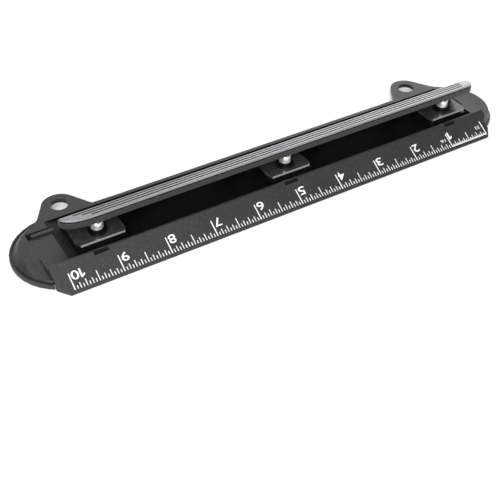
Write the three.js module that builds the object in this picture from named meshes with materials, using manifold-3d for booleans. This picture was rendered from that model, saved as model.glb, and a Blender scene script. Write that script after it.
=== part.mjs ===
// Slim three-hole punch with a ten-inch ruler edge and two ring ears.
// Millimetres. X runs along the ruler, Y from the ruler's front edge to the ears, Z up from the desk.
// Outlines are measured from the ruler's front edge and from midway between the outer punches; the
// finished group is then moved so that its origin lies at desk level under its footprint's middle.
import * as THREE from "three";
import { mergeVertices } from "three/addons/utils/BufferGeometryUtils.js";
import Module from "manifold-3d";

const wasm = await Module();
wasm.setup();

// Driving sizes
const PUNCH_PITCH = 107.95;
const HOLE_DIAMETER = 6.35;
const RULER_LENGTH = 254;
const RUNNING_GAP = 0.25;
const SEAT_GAP = 0.3;
const CUT_OVERRUN = 2;
const SHEET_THICKNESS = 1.2;
const LOBE_STEPS = 18;
const PIN_SIDES = 20;
const MERGE_DISTANCE = 1e-4;

// Ruler strip
const STRIP_FRONT_HEIGHT = 0.7;
const STRIP_REAR_Y = 14;
const STRIP_REAR_HEIGHT = 8.8;
const STRIP_REAR_WALL = 1.2;
const STRIP_LEFT_MARGIN = 7.2;
const STRIP_RIGHT_MARGIN = 3.3;
const STRIP_CORNER_CUT_X = 4.6;
const STRIP_CORNER_CUT_Y = 6.4;
const STRIP_STEP_Y = 8.5;
const STRIP_END_STEP = 3.2;
const RULER_ZERO_SHIFT = 15.25;
const NOTCH_LENGTH = 7.8;
const NOTCH_WIDTH = 2;
const NOTCH_RIM = 0.9;
const NOTCH_SHIFT = 3.7;

// Chip tray
const TRAY_PROUD = 5;
const TRAY_RIGHT_PROUD = 1.7;
const TRAY_HEIGHT = 2.2;
const TRAY_FLOOR = 1;
const TRAY_FRONT_Y = 8;
const TRAY_GROOVE_WIDTH = 1.2;
const TRAY_GROOVE_DEPTH = 0.9;
const TRAY_LIP = 1;
const CHIP_WELL_END_ROOM = 9.05;
const CHIP_WELL_FRONT_ROOM = 8.2;
const CHIP_WELL_BACK_ROOM = 19.8;

// Punch stations
const TROUGH_TO_PIN = 10;
const FRAME_LENGTH = 25.4;
const FRAME_FRONT_ROOM = 6.5;
const FRAME_CORNER_CUT = 2.2;
const HOLE_MARGIN = 13.5;
const DIE_DROP = 0.5;
const PAPER_GAP = 1.3;
const FOOT_LENGTH = 4.1;
const COLLAR_HEIGHT = 1;
const COLLAR_WALL = 1.4;
const CHIP_HOLE_CLEARANCE = 0.9;
const RIVET_OFFSET_X = 8;
const RIVET_SHANK_RADIUS = 1;
const RIVET_HEAD_RADIUS = 1.7;
const RIVET_HEAD_HEIGHT = 1;
const RIVET_DEPTH = 4.6;

// Base moulding
const DECK_RADIUS = 23;
const DECK_RISE = 1.7;
const DECK_BACK_LEDGE = 2.3;
const WALL_SPREAD = 3;
const WALL_RIGHT_SPREAD = 1;
const FLOOR_THICKNESS = 1.4;
const TROUGH_END_GAP = 2.8;
const TROUGH_RAMP_LENGTH = 6;
const TROUGH_BACK_GAP = 7.7;
const LOBE_LEFT_SETBACK = 3.5;
const LOBE_RIGHT_SETBACK = 6.3;
const RAMP_SETBACK = 12.8;
const RAMP_LENGTH = 7;
const RAMP_DROP = 2.4;

// Ring ears
const EAR_SHIFT = 4.85;
const EAR_DRIFT = 1;
const EAR_HOLE_SETBACK = 7.4;
const EAR_HOLE_DIAMETER = 9.6;
const EAR_TIP_RADIUS = 9.2;
const EAR_ROOT_HALF_WIDTH = 18.3;
const EAR_ROOT_DROP = 2.3;
const EAR_WAIST_HALF_WIDTH = 13;
const EAR_WAIST_RISE = 3.4;
const EAR_THICKNESS = 2.3;
const EAR_TIP_ANGLE = 0.47;

// Latch slot in the left deck and the crescent window at the trough's right end
const LATCH_SLOT_LENGTH = 12;
const LATCH_SLOT_SHIFT = 10.4;
const LATCH_SLOT_WIDTH = 5.2;
const LATCH_THICKNESS = 2.3;
const LATCH_INSET = 2.2;
const LATCH_RISE = 1.2;
const WINDOW_RADIUS = 13.2;
const WINDOW_CENTRE_INSET = 10.4;
const WINDOW_CENTRE_SHIFT = 8.1;
const WINDOW_LOW_ANGLE = -0.7;
const WINDOW_HIGH_ANGLE = 0.42;
const WINDOW_MOUTH = 2.8;
const WINDOW_LEAN_X = 1.25;
const WINDOW_LEAN_Y = 1.2;

// Hinge
const PIN_TO_HINGE = 16.3;
const HINGE_RISE = 2.7;
const ROD_RADIUS = 1.3;
const ROD_END_GAP = 2.7;
const ROD_TAIL = 0.7;
const ROD_GROOVE_DEPTH = 0.35;
const LUG_RADIUS = 2.4;
const LUG_THICKNESS = 2.6;
const CLIP_RADIUS = 2.3;
const CLIP_THICKNESS = 0.7;
const CLIP_MOUTH = 1.6;

// Lever
const LEVER_RISE = 11.9;
const LEVER_FRONT_ROOM = 5.2;
const LEVER_CREST_WIDTH = 8;
const LEVER_SKIRT_HEIGHT = 2.9;
const LEVER_WALL = 1.3;
const LEVER_OVERHANG = 2.8;
const LEVER_TAPER_LENGTH = 14;
const LEVER_TAPER_WIDTH = 6;
const LEVER_END_RADIUS = 3.5;
const LEVER_WEB_SETBACK = 5.2;
const POCKET_HALF_LENGTH = 3.6;
const POCKET_REACH = 3.4;
const POCKET_SKIN = 0.75;
const CHEEK_GAP = 0.95;
const CHEEK_THICKNESS = 1.6;
const KNUCKLE_RADIUS = 2.4;
const KNUCKLE_LENGTH = 12;
const KNUCKLE_GAP = 0.5;
const TAPER_STEPS = 8;

// Grooved grip strip on the lever
const GRIP_THICKNESS = 1.1;
const GRIP_INSET = 0.5;
const GRIP_BACK_ROOM = 1.35;
const GROOVE_COUNT = 3;
const GROOVE_PITCH = 1.65;
const GROOVE_WIDTH = 0.7;
const GROOVE_DEPTH = 0.6;
const GROOVE_LEFT_MARGIN = 7;
const GROOVE_RIGHT_MARGIN = 7;
const GROOVE_STAGGER = 4;

// Punch pin and the fork that lifts it
const PIN_BACKSET = 0.3;
const PIN_SHOULDER_DROP = 5.3;
const PIN_HEAD_DROP = 2.9;
const PIN_HEAD_THICKNESS = 1;
const PIN_NECK_RADIUS = 1.8;
const PIN_HEAD_RADIUS = 2.7;
const PIN_EDGE = 0.35;
const FORK_HALF_LENGTH = 6;
const FORK_THICKNESS = 0.8;
const FORK_DROP = 4;
const FORK_FRONT_ROOM = 3.3;
const FORK_BACK_REACH = 1.9;
const FORK_SLOT_ROOM = 4;
const FORK_SLOT_CLEARANCE = 0.4;

// Lever springs
const SPRING_COIL_RADIUS = 2.1;
const SPRING_WIRE_RADIUS = 0.4;
const SPRING_TURNS = 5;
const SPRING_PITCH = 1.6;
const SPRING_STEPS = 8;
const SPRING_SIDES = 5;
const SPRING_LOW_LEG_REACH = 4.4;
const SPRING_HIGH_LEG_REACH = 8;

// Places along the ruler that follow
const RULER_ZERO_X = PUNCH_PITCH + RULER_ZERO_SHIFT;
const STRIP_RIGHT_X = RULER_ZERO_X + STRIP_RIGHT_MARGIN;
const STRIP_LEFT_X = RULER_ZERO_X - RULER_LENGTH - STRIP_LEFT_MARGIN;
const FRAME_END_X = PUNCH_PITCH + FRAME_LENGTH / 2;
const CHEEK_INNER_X = FRAME_END_X + CHEEK_GAP;
const CHEEK_OUTER_X = CHEEK_INNER_X + CHEEK_THICKNESS;
const LEVER_HALF_LENGTH = CHEEK_OUTER_X + LEVER_OVERHANG;
const TROUGH_HALF_LENGTH = CHEEK_OUTER_X + TROUGH_END_GAP;
const LOBE_LEFT_X = -TROUGH_HALF_LENGTH + LOBE_LEFT_SETBACK;
const LOBE_RIGHT_X = TROUGH_HALF_LENGTH - LOBE_RIGHT_SETBACK;
const CHIP_WELL_HALF_LENGTH = PUNCH_PITCH + CHIP_WELL_END_ROOM;
const ROD_INNER_X = FRAME_LENGTH / 2 + ROD_END_GAP;
const ROD_OUTER_X = PUNCH_PITCH - ROD_INNER_X;
const LUG_INSET = ROD_TAIL + CLIP_THICKNESS + SEAT_GAP + LUG_THICKNESS / 2;
const LUG_PLACES = [ROD_INNER_X + LUG_INSET, PUNCH_PITCH / 2, ROD_OUTER_X - LUG_INSET];
const KNUCKLE_INSET = LUG_INSET + LUG_THICKNESS / 2 + KNUCKLE_GAP + KNUCKLE_LENGTH / 2;
const KNUCKLE_PLACES = [ROD_INNER_X + KNUCKLE_INSET, ROD_OUTER_X - KNUCKLE_INSET];
const SPRING_X = (PUNCH_PITCH / 2 + ROD_OUTER_X - KNUCKLE_INSET) / 2;
const EAR_X = PUNCH_PITCH + EAR_SHIFT;
const LATCH_SLOT_LEFT_X = -TROUGH_HALF_LENGTH - LATCH_SLOT_LENGTH;

// Places from the ruler's front edge back that follow
const TROUGH_FRONT_Y = STRIP_REAR_Y + STRIP_REAR_WALL;
const PIN_Y = TROUGH_FRONT_Y + TROUGH_TO_PIN;
const FRAME_FRONT_Y = PIN_Y - FRAME_FRONT_ROOM;
const PAPER_STOP_Y = PIN_Y + HOLE_MARGIN;
const WEB_BACK_Y = PAPER_STOP_Y + SHEET_THICKNESS;
const FOOT_BACK_Y = WEB_BACK_Y + FOOT_LENGTH;
const RIVET_Y = WEB_BACK_Y + FOOT_LENGTH / 2;
const HINGE_Y = PIN_Y + PIN_TO_HINGE;
const TROUGH_BACK_Y = FOOT_BACK_Y + TROUGH_BACK_GAP;
const DECK_BACK_Y = TROUGH_BACK_Y + DECK_BACK_LEDGE;
const BODY_CENTRE_Y = DECK_BACK_Y - DECK_RADIUS;
const EAR_HOLE_Y = DECK_BACK_Y + EAR_HOLE_SETBACK;
const LEVER_FRONT_Y = PIN_Y - LEVER_FRONT_ROOM;
const LEVER_CREST_Y = LEVER_FRONT_Y + LEVER_CREST_WIDTH;
const LEVER_WEB_BACK_Y = HINGE_Y - LEVER_WEB_SETBACK;
const LATCH_SLOT_FRONT_Y = BODY_CENTRE_Y + LATCH_SLOT_SHIFT;
const RAMP_BACK_Y = STRIP_REAR_Y + RAMP_SETBACK;

// Heights that follow
const BASE_Z = TRAY_HEIGHT + SEAT_GAP;
const FLOOR_TOP_Z = BASE_Z + FLOOR_THICKNESS;
const DECK_Z = FLOOR_TOP_Z + DECK_RISE;
const DIE_TOP_Z = STRIP_REAR_HEIGHT - DIE_DROP;
const DIE_BOTTOM_Z = DIE_TOP_Z - SHEET_THICKNESS;
const PEDESTAL_TOP_Z = DIE_BOTTOM_Z - SEAT_GAP;
const FRAME_BOTTOM_Z = DIE_TOP_Z + PAPER_GAP;
const FRAME_TOP_Z = FRAME_BOTTOM_Z + SHEET_THICKNESS;
const FOOT_BOTTOM_Z = DIE_TOP_Z + SEAT_GAP;
const FOOT_TOP_Z = FOOT_BOTTOM_Z + SHEET_THICKNESS;
const HINGE_Z = FLOOR_TOP_Z + HINGE_RISE;
const LEVER_TOP_Z = FRAME_TOP_Z + LEVER_RISE;
const LEVER_SKIRT_Z = LEVER_TOP_Z - LEVER_SKIRT_HEIGHT;
const PIN_BOTTOM_Z = FRAME_BOTTOM_Z + PIN_BACKSET;
const PIN_SHOULDER_Z = LEVER_TOP_Z - PIN_SHOULDER_DROP;
const PIN_HEAD_Z = LEVER_TOP_Z - PIN_HEAD_DROP;
const FORK_TOP_Z = LEVER_TOP_Z - FORK_DROP;
const PIN_RADIUS = HOLE_DIAMETER / 2;
const TRAY_RADIUS = DECK_RADIUS + TRAY_PROUD;
const TRAY_RIGHT_RADIUS = DECK_RADIUS + TRAY_RIGHT_PROUD;
const STATIONS = [
  { name: "left", x: -PUNCH_PITCH },
  { name: "middle", x: 0 },
  { name: "right", x: PUNCH_PITCH },
];
const SIDES = [
  { name: "left", sign: -1 },
  { name: "right", sign: 1 },
];
const ROD_ENDS = ["inner", "outer"];

// Finishes
const finishes = {
  blackPlastic: { color: 0x1d1d1f, roughness: 0.5, metalness: 0 },
  trayPlastic: { color: 0x232325, roughness: 0.62, metalness: 0 },
  gripMetal: { color: 0xb9babb, roughness: 0.32, metalness: 0.9 },
  polishedSteel: { color: 0xd2d3d5, roughness: 0.16, metalness: 1 },
  darkSteel: { color: 0x3a3b3d, roughness: 0.35, metalness: 0.9 },
  springSteel: { color: 0x9c9ea1, roughness: 0.3, metalness: 1 },
};

// Solids from outlines
function toSolid(geometry) {
  const plain = new THREE.BufferGeometry();
  plain.setAttribute("position", geometry.getAttribute("position"));
  if (geometry.index) {
    plain.setIndex(geometry.index);
  }
  const merged = mergeVertices(plain, MERGE_DISTANCE);
  const vertProperties = new Float32Array(merged.getAttribute("position").array);
  const triVerts = new Uint32Array(merged.index.array);
  return new wasm.Manifold(new wasm.Mesh({ numProp: 3, vertProperties, triVerts }));
}

function toGeometry(solid) {
  const mesh = solid.getMesh();
  const geometry = new THREE.BufferGeometry();
  geometry.setAttribute("position", new THREE.BufferAttribute(mesh.vertProperties, 3));
  geometry.setIndex(new THREE.BufferAttribute(mesh.triVerts, 1));
  geometry.computeVertexNormals();
  return geometry;
}

/** A prism standing on a plan outline, from one height to another. */
function upright(outline, lowZ, highZ, holes = []) {
  const shape = new THREE.Shape(outline.map(([x, y]) => new THREE.Vector2(x, y)));
  for (const hole of holes) {
    shape.holes.push(new THREE.Path(hole.map(([x, y]) => new THREE.Vector2(x, y))));
  }
  const geometry = new THREE.ExtrudeGeometry(shape, { depth: highZ - lowZ, bevelEnabled: false });
  geometry.translate(0, 0, lowZ);
  return toSolid(geometry);
}

/** A bar along X whose cross-section is an outline of (y, z) points. */
function bar(section, lowX, highX) {
  const shape = new THREE.Shape(section.map(([y, z]) => new THREE.Vector2(y, z)));
  const geometry = new THREE.ExtrudeGeometry(shape, { depth: highX - lowX, bevelEnabled: false });
  const turn = new THREE.Matrix4().set(0, 0, 1, lowX, 1, 0, 0, 0, 0, 1, 0, 0, 0, 0, 0, 1);
  geometry.applyMatrix4(turn);
  return toSolid(geometry);
}

function block(low, high) {
  const size = high.map((value, axis) => value - low[axis]);
  const geometry = new THREE.BoxGeometry(...size);
  geometry.translate(...low.map((value, axis) => value + size[axis] / 2));
  return toSolid(geometry);
}

function arc(centreX, centreY, radius, fromAngle, toAngle, steps) {
  const points = [];
  for (let step = 0; step <= steps; step += 1) {
    const angle = fromAngle + ((toAngle - fromAngle) * step) / steps;
    points.push([centreX + radius * Math.cos(angle), centreY + radius * Math.sin(angle)]);
  }
  return points;
}

function circle(centreX, centreY, radius, steps) {
  return arc(centreX, centreY, radius, 0, 2 * Math.PI, steps).slice(0, steps);
}

/** A racetrack outline around the body's long axis, anticlockwise from the right end's bottom. */
function racetrack(leftRadius, rightRadius) {
  return [
    ...arc(LOBE_RIGHT_X, BODY_CENTRE_Y, rightRadius, -Math.PI / 2, Math.PI / 2, LOBE_STEPS),
    ...arc(LOBE_LEFT_X, BODY_CENTRE_Y, leftRadius, Math.PI / 2, (3 * Math.PI) / 2, LOBE_STEPS),
  ];
}

/** A convex solid between two outlines of as many points, one above the other. */
function loft(lowOutline, lowZ, highOutline, highZ) {
  const count = lowOutline.length;
  const positions = [
    ...lowOutline.flatMap(([x, y]) => [x, y, lowZ]),
    ...highOutline.flatMap(([x, y]) => [x, y, highZ]),
  ];
  const index = [];
  for (let i = 0; i < count; i += 1) {
    const next = (i + 1) % count;
    index.push(i, next, count + next, i, count + next, count + i);
  }
  for (let i = 1; i < count - 1; i += 1) {
    index.push(0, i + 1, i, count, count + i, count + i + 1);
  }
  const geometry = new THREE.BufferGeometry();
  geometry.setAttribute("position", new THREE.Float32BufferAttribute(positions, 3));
  geometry.setIndex(index);
  return toSolid(geometry);
}

/** A turned solid on an upright axis at (x, y); its (radius, z) points start and end on the axis. */
function turned(profile, x, y) {
  const points = profile.map(([radius, z]) => new THREE.Vector2(radius, z));
  const geometry = new THREE.LatheGeometry(points, PIN_SIDES);
  geometry.rotateX(Math.PI / 2);
  geometry.translate(x, y, 0);
  return toSolid(geometry);
}

/** A round bar along X at the hinge line. */
function hingeBar(radius, lowX, highX) {
  return bar(circle(HINGE_Y, HINGE_Z, radius, PIN_SIDES), lowX, highX);
}

/** A round bar at the hinge line along the whole bay between two stations. */
function bayBar(sign, radius) {
  return sign > 0
    ? hingeBar(radius, ROD_INNER_X, ROD_OUTER_X)
    : hingeBar(radius, -ROD_OUTER_X, -ROD_INNER_X);
}

// Base: two rounded lobes, the sloping ruler strip, the trough and the ears
function earOutline(sign) {
  const rootY = DECK_BACK_Y - WALL_SPREAD;
  const waistY = DECK_BACK_Y + EAR_WAIST_RISE;
  const fillet = new THREE.QuadraticBezierCurve(
    new THREE.Vector2(EAR_X + EAR_ROOT_HALF_WIDTH, DECK_BACK_Y - EAR_ROOT_DROP),
    new THREE.Vector2(EAR_X + EAR_WAIST_HALF_WIDTH + EAR_WAIST_RISE / 2, DECK_BACK_Y),
    new THREE.Vector2(EAR_X + EAR_WAIST_HALF_WIDTH, waistY),
  );
  const outer = fillet.getPoints(TAPER_STEPS).map(({ x, y }) => [x, y]);
  const inner = outer.map(([x, y]) => [2 * EAR_X - x, y]).reverse();
  const tip = arc(EAR_X, EAR_HOLE_Y, EAR_TIP_RADIUS, EAR_TIP_ANGLE, Math.PI - EAR_TIP_ANGLE, LOBE_STEPS);
  const outline = [
    [EAR_X - EAR_ROOT_HALF_WIDTH, rootY],
    [EAR_X + EAR_ROOT_HALF_WIDTH, rootY],
    ...outer,
    ...tip,
    ...inner,
  ];
  const placed = outline.map(([x, y]) => [sign * x - EAR_DRIFT, y]);
  return sign > 0 ? placed : placed.reverse();
}

function earHole(sign, radius) {
  return circle(sign * EAR_X - EAR_DRIFT, EAR_HOLE_Y, radius, LOBE_STEPS);
}

function stripSolid() {
  const section = [
    [0, 0],
    [TRAY_FRONT_Y - SEAT_GAP, 0],
    [TRAY_FRONT_Y - SEAT_GAP, BASE_Z],
    [TROUGH_FRONT_Y + CUT_OVERRUN, BASE_Z],
    [TROUGH_FRONT_Y + CUT_OVERRUN, FLOOR_TOP_Z],
    [TROUGH_FRONT_Y, FLOOR_TOP_Z],
    [TROUGH_FRONT_Y, STRIP_REAR_HEIGHT],
    [STRIP_REAR_Y, STRIP_REAR_HEIGHT],
    [0, STRIP_FRONT_HEIGHT],
  ];
  const cornerX = STRIP_LEFT_X;
  const plan = [
    [cornerX + STRIP_CORNER_CUT_X, -CUT_OVERRUN],
    [STRIP_RIGHT_X - STRIP_END_STEP, -CUT_OVERRUN],
    [STRIP_RIGHT_X - STRIP_END_STEP, 0],
    [STRIP_RIGHT_X, STRIP_STEP_Y / 2],
    [STRIP_RIGHT_X, STRIP_STEP_Y],
    [STRIP_RIGHT_X + STRIP_END_STEP, STRIP_STEP_Y + STRIP_END_STEP],
    [STRIP_RIGHT_X + STRIP_END_STEP, TROUGH_FRONT_Y + 2 * CUT_OVERRUN],
    [cornerX, TROUGH_FRONT_Y + 2 * CUT_OVERRUN],
    [cornerX, STRIP_CORNER_CUT_Y],
    [cornerX + STRIP_CORNER_CUT_X, 0],
  ];
  const whole = bar(section, cornerX, STRIP_RIGHT_X + STRIP_END_STEP);
  return whole.intersect(upright(plan, -CUT_OVERRUN, STRIP_REAR_HEIGHT + CUT_OVERRUN));
}

/** The leaning crescent window through the base and the tray at the trough's right end. */
function endWindow() {
  const centreX = TROUGH_HALF_LENGTH - WINDOW_CENTRE_INSET;
  const centreY = PIN_Y + WINDOW_CENTRE_SHIFT;
  const curve = arc(centreX, centreY, WINDOW_RADIUS, WINDOW_LOW_ANGLE, WINDOW_HIGH_ANGLE, TAPER_STEPS);
  const outline = [[curve[0][0] - WINDOW_MOUTH, curve[0][1]], ...curve];
  const leanTo = (z) => {
    const depth = DECK_Z - z;
    return outline.map(([x, y]) => [x + depth * WINDOW_LEAN_X, y + depth * WINDOW_LEAN_Y]);
  };
  const lowZ = -CUT_OVERRUN;
  const highZ = DECK_Z + CUT_OVERRUN;
  return loft(leanTo(lowZ), lowZ, leanTo(highZ), highZ);
}

/** The slope from the left deck down to the trough's floor. */
function troughRamp() {
  const lip = -TROUGH_HALF_LENGTH;
  const plan = (highX) => [
    [lip - CUT_OVERRUN, TROUGH_FRONT_Y],
    [highX, TROUGH_FRONT_Y],
    [highX, TROUGH_BACK_Y],
    [lip - CUT_OVERRUN, TROUGH_BACK_Y],
  ];
  return loft(plan(lip + TROUGH_RAMP_LENGTH), FLOOR_TOP_Z, plan(lip), DECK_Z);
}

/** The lowered corner in front of the left lobe's deck. */
function cornerRamp() {
  const lowY = BODY_CENTRE_Y - TRAY_RADIUS;
  const section = [
    [lowY, DECK_Z - RAMP_DROP],
    [RAMP_BACK_Y - RAMP_LENGTH, DECK_Z - RAMP_DROP],
    [RAMP_BACK_Y, DECK_Z],
    [RAMP_BACK_Y, DECK_Z + CUT_OVERRUN],
    [lowY, DECK_Z + CUT_OVERRUN],
  ];
  return bar(section, LOBE_LEFT_X - TRAY_RADIUS, STRIP_LEFT_X);
}

function baseFrame() {
  const foot = racetrack(DECK_RADIUS + WALL_SPREAD, DECK_RADIUS + WALL_RIGHT_SPREAD);
  let solid = loft(foot, BASE_Z, racetrack(DECK_RADIUS, DECK_RADIUS), DECK_Z);
  const frontOverhang = block(
    [STRIP_LEFT_X, 0, 0],
    [STRIP_RIGHT_X, TROUGH_FRONT_Y, STRIP_REAR_HEIGHT],
  );
  solid = solid.subtract(frontOverhang);
  for (const side of SIDES) {
    const tab = upright(earOutline(side.sign), DECK_Z - EAR_THICKNESS, DECK_Z);
    const hole = earHole(side.sign, EAR_HOLE_DIAMETER / 2);
    const eye = upright(hole, BASE_Z - CUT_OVERRUN, DECK_Z + CUT_OVERRUN);
    solid = solid.add(tab).subtract(eye);
  }
  const trough = block(
    [-TROUGH_HALF_LENGTH, TROUGH_FRONT_Y - CUT_OVERRUN, FLOOR_TOP_Z],
    [TROUGH_HALF_LENGTH, TROUGH_BACK_Y, DECK_Z + CUT_OVERRUN],
  );
  solid = solid.subtract(trough).add(troughRamp()).subtract(cornerRamp()).add(stripSolid());
  for (const station of STATIONS) {
    const pedestal = block(
      [station.x - FRAME_LENGTH / 2, FRAME_FRONT_Y, BASE_Z],
      [station.x + FRAME_LENGTH / 2, FOOT_BACK_Y, PEDESTAL_TOP_Z],
    );
    const notchX = station.x - NOTCH_SHIFT;
    const notchBackY = TROUGH_FRONT_Y - NOTCH_RIM;
    const notch = block(
      [notchX - NOTCH_LENGTH / 2, notchBackY - NOTCH_WIDTH, FLOOR_TOP_Z],
      [notchX + NOTCH_LENGTH / 2, notchBackY, STRIP_REAR_HEIGHT + CUT_OVERRUN],
    );
    const chipHole = circle(station.x, PIN_Y, PIN_RADIUS + CHIP_HOLE_CLEARANCE, PIN_SIDES);
    solid = solid
      .add(pedestal)
      .subtract(notch)
      .subtract(upright(chipHole, BASE_Z - CUT_OVERRUN, PEDESTAL_TOP_Z + CUT_OVERRUN));
    for (const side of SIDES) {
      const rivetX = station.x + side.sign * RIVET_OFFSET_X;
      const rivetHole = circle(rivetX, RIVET_Y, RIVET_SHANK_RADIUS + SEAT_GAP, PIN_SIDES);
      solid = solid.subtract(upright(rivetHole, BASE_Z - CUT_OVERRUN, PEDESTAL_TOP_Z + CUT_OVERRUN));
    }
  }
  for (const side of SIDES) {
    for (const place of LUG_PLACES) {
      const lowX = side.sign * place - LUG_THICKNESS / 2;
      const highX = lowX + LUG_THICKNESS;
      const post = block([lowX, HINGE_Y - LUG_RADIUS, BASE_Z], [highX, HINGE_Y + LUG_RADIUS, HINGE_Z]);
      solid = solid.add(post).add(hingeBar(LUG_RADIUS, lowX, highX));
    }
  }
  const latchSlot = block(
    [LATCH_SLOT_LEFT_X, LATCH_SLOT_FRONT_Y, BASE_Z - CUT_OVERRUN],
    [CUT_OVERRUN - TROUGH_HALF_LENGTH, LATCH_SLOT_FRONT_Y + LATCH_SLOT_WIDTH, DECK_Z + CUT_OVERRUN],
  );
  solid = solid.subtract(latchSlot).subtract(endWindow());
  for (const side of SIDES) {
    solid = solid.subtract(bayBar(side.sign, ROD_RADIUS + RUNNING_GAP));
  }
  return solid;
}

// Chip tray: a shallow cover under the base with a bead all round and a latch tongue
function chipTray() {
  let solid = upright(racetrack(TRAY_RADIUS, TRAY_RIGHT_RADIUS), 0, TRAY_HEIGHT);
  const front = block(
    [LOBE_LEFT_X - TRAY_RADIUS, BODY_CENTRE_Y - TRAY_RADIUS - CUT_OVERRUN, -CUT_OVERRUN],
    [LOBE_RIGHT_X + TRAY_RADIUS, TRAY_FRONT_Y, TRAY_HEIGHT + CUT_OVERRUN],
  );
  const corner = block(
    [STRIP_LEFT_X - SEAT_GAP, BODY_CENTRE_Y - TRAY_RADIUS, -CUT_OVERRUN],
    [STRIP_LEFT_X + STRIP_END_STEP, STRIP_STEP_Y + STRIP_END_STEP, TRAY_HEIGHT + CUT_OVERRUN],
  );
  const bead = TRAY_LIP + TRAY_GROOVE_WIDTH;
  const grooveOuter = racetrack(TRAY_RADIUS - TRAY_LIP, TRAY_RIGHT_RADIUS - TRAY_LIP);
  const grooveInner = racetrack(TRAY_RADIUS - bead, TRAY_RIGHT_RADIUS - bead).reverse();
  const groove = upright(grooveOuter, TRAY_HEIGHT - TRAY_GROOVE_DEPTH, TRAY_HEIGHT + CUT_OVERRUN, [
    grooveInner,
  ]);
  const well = block(
    [-CHIP_WELL_HALF_LENGTH, PIN_Y - CHIP_WELL_FRONT_ROOM, TRAY_FLOOR],
    [CHIP_WELL_HALF_LENGTH, PIN_Y + CHIP_WELL_BACK_ROOM, TRAY_HEIGHT + CUT_OVERRUN],
  );
  const tongueY = LATCH_SLOT_FRONT_Y + SEAT_GAP;
  const tongue = block(
    [LATCH_SLOT_LEFT_X + LATCH_INSET, tongueY, TRAY_FLOOR],
    [CUT_OVERRUN - TROUGH_HALF_LENGTH - SEAT_GAP, tongueY + LATCH_THICKNESS, DECK_Z + LATCH_RISE],
  );
  solid = solid.subtract(front).subtract(corner).subtract(groove).subtract(well).add(tongue);
  for (const side of SIDES) {
    const ringRoom = earHole(side.sign, EAR_HOLE_DIAMETER / 2 + TRAY_LIP);
    solid = solid.subtract(upright(ringRoom, -CUT_OVERRUN, TRAY_HEIGHT + CUT_OVERRUN));
  }
  return solid.subtract(endWindow());
}

// Punch station: die plate, guide frame, pin, lift fork and two rivets
function diePlate(x) {
  const half = FRAME_LENGTH / 2;
  const plate = block([x - half, FRAME_FRONT_Y, DIE_BOTTOM_Z], [x + half, FOOT_BACK_Y, DIE_TOP_Z]);
  let solid = plate.subtract(throughHole(x, PIN_Y, PIN_RADIUS + RUNNING_GAP));
  for (const side of SIDES) {
    const rivetX = x + side.sign * RIVET_OFFSET_X;
    solid = solid.subtract(throughHole(rivetX, RIVET_Y, RIVET_SHANK_RADIUS + SEAT_GAP));
  }
  return solid;
}

function throughHole(x, y, radius) {
  return upright(circle(x, y, radius, PIN_SIDES), DIE_BOTTOM_Z - CUT_OVERRUN, FRAME_TOP_Z + 2 * CUT_OVERRUN);
}

function guideFrame(x) {
  const half = FRAME_LENGTH / 2;
  const section = [
    [FRAME_FRONT_Y, FRAME_BOTTOM_Z],
    [PAPER_STOP_Y, FRAME_BOTTOM_Z],
    [PAPER_STOP_Y, FOOT_BOTTOM_Z],
    [FOOT_BACK_Y, FOOT_BOTTOM_Z],
    [FOOT_BACK_Y, FOOT_TOP_Z],
    [WEB_BACK_Y, FOOT_TOP_Z],
    [WEB_BACK_Y, FRAME_TOP_Z],
    [FRAME_FRONT_Y, FRAME_TOP_Z],
  ];
  const plan = [
    [x - half, FRAME_FRONT_Y + FRAME_CORNER_CUT],
    [x - half + FRAME_CORNER_CUT / 2, FRAME_FRONT_Y],
    [x + half - FRAME_CORNER_CUT / 2, FRAME_FRONT_Y],
    [x + half, FRAME_FRONT_Y + FRAME_CORNER_CUT],
    [x + half, FOOT_BACK_Y],
    [x - half, FOOT_BACK_Y],
  ];
  const collar = upright(
    circle(x, PIN_Y, PIN_RADIUS + RUNNING_GAP + COLLAR_WALL, PIN_SIDES),
    FRAME_BOTTOM_Z,
    FRAME_TOP_Z + COLLAR_HEIGHT,
  );
  let solid = bar(section, x - half, x + half)
    .intersect(upright(plan, FOOT_BOTTOM_Z - CUT_OVERRUN, FRAME_TOP_Z + CUT_OVERRUN))
    .add(collar)
    .subtract(throughHole(x, PIN_Y, PIN_RADIUS + RUNNING_GAP));
  for (const side of SIDES) {
    const rivetX = x + side.sign * RIVET_OFFSET_X;
    solid = solid.subtract(throughHole(rivetX, RIVET_Y, RIVET_SHANK_RADIUS + SEAT_GAP));
  }
  return solid;
}

function punchPin(x) {
  const headTop = PIN_HEAD_Z + PIN_HEAD_THICKNESS;
  return turned(
    [
      [0, PIN_BOTTOM_Z],
      [PIN_RADIUS, PIN_BOTTOM_Z],
      [PIN_RADIUS, PIN_SHOULDER_Z - PIN_EDGE],
      [PIN_RADIUS - PIN_EDGE, PIN_SHOULDER_Z],
      [PIN_NECK_RADIUS, PIN_SHOULDER_Z],
      [PIN_NECK_RADIUS, PIN_HEAD_Z],
      [PIN_HEAD_RADIUS, PIN_HEAD_Z],
      [PIN_HEAD_RADIUS, headTop - PIN_EDGE],
      [PIN_HEAD_RADIUS - 2 * PIN_EDGE, headTop],
      [0, headTop],
    ],
    x,
    PIN_Y,
  );
}

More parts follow.
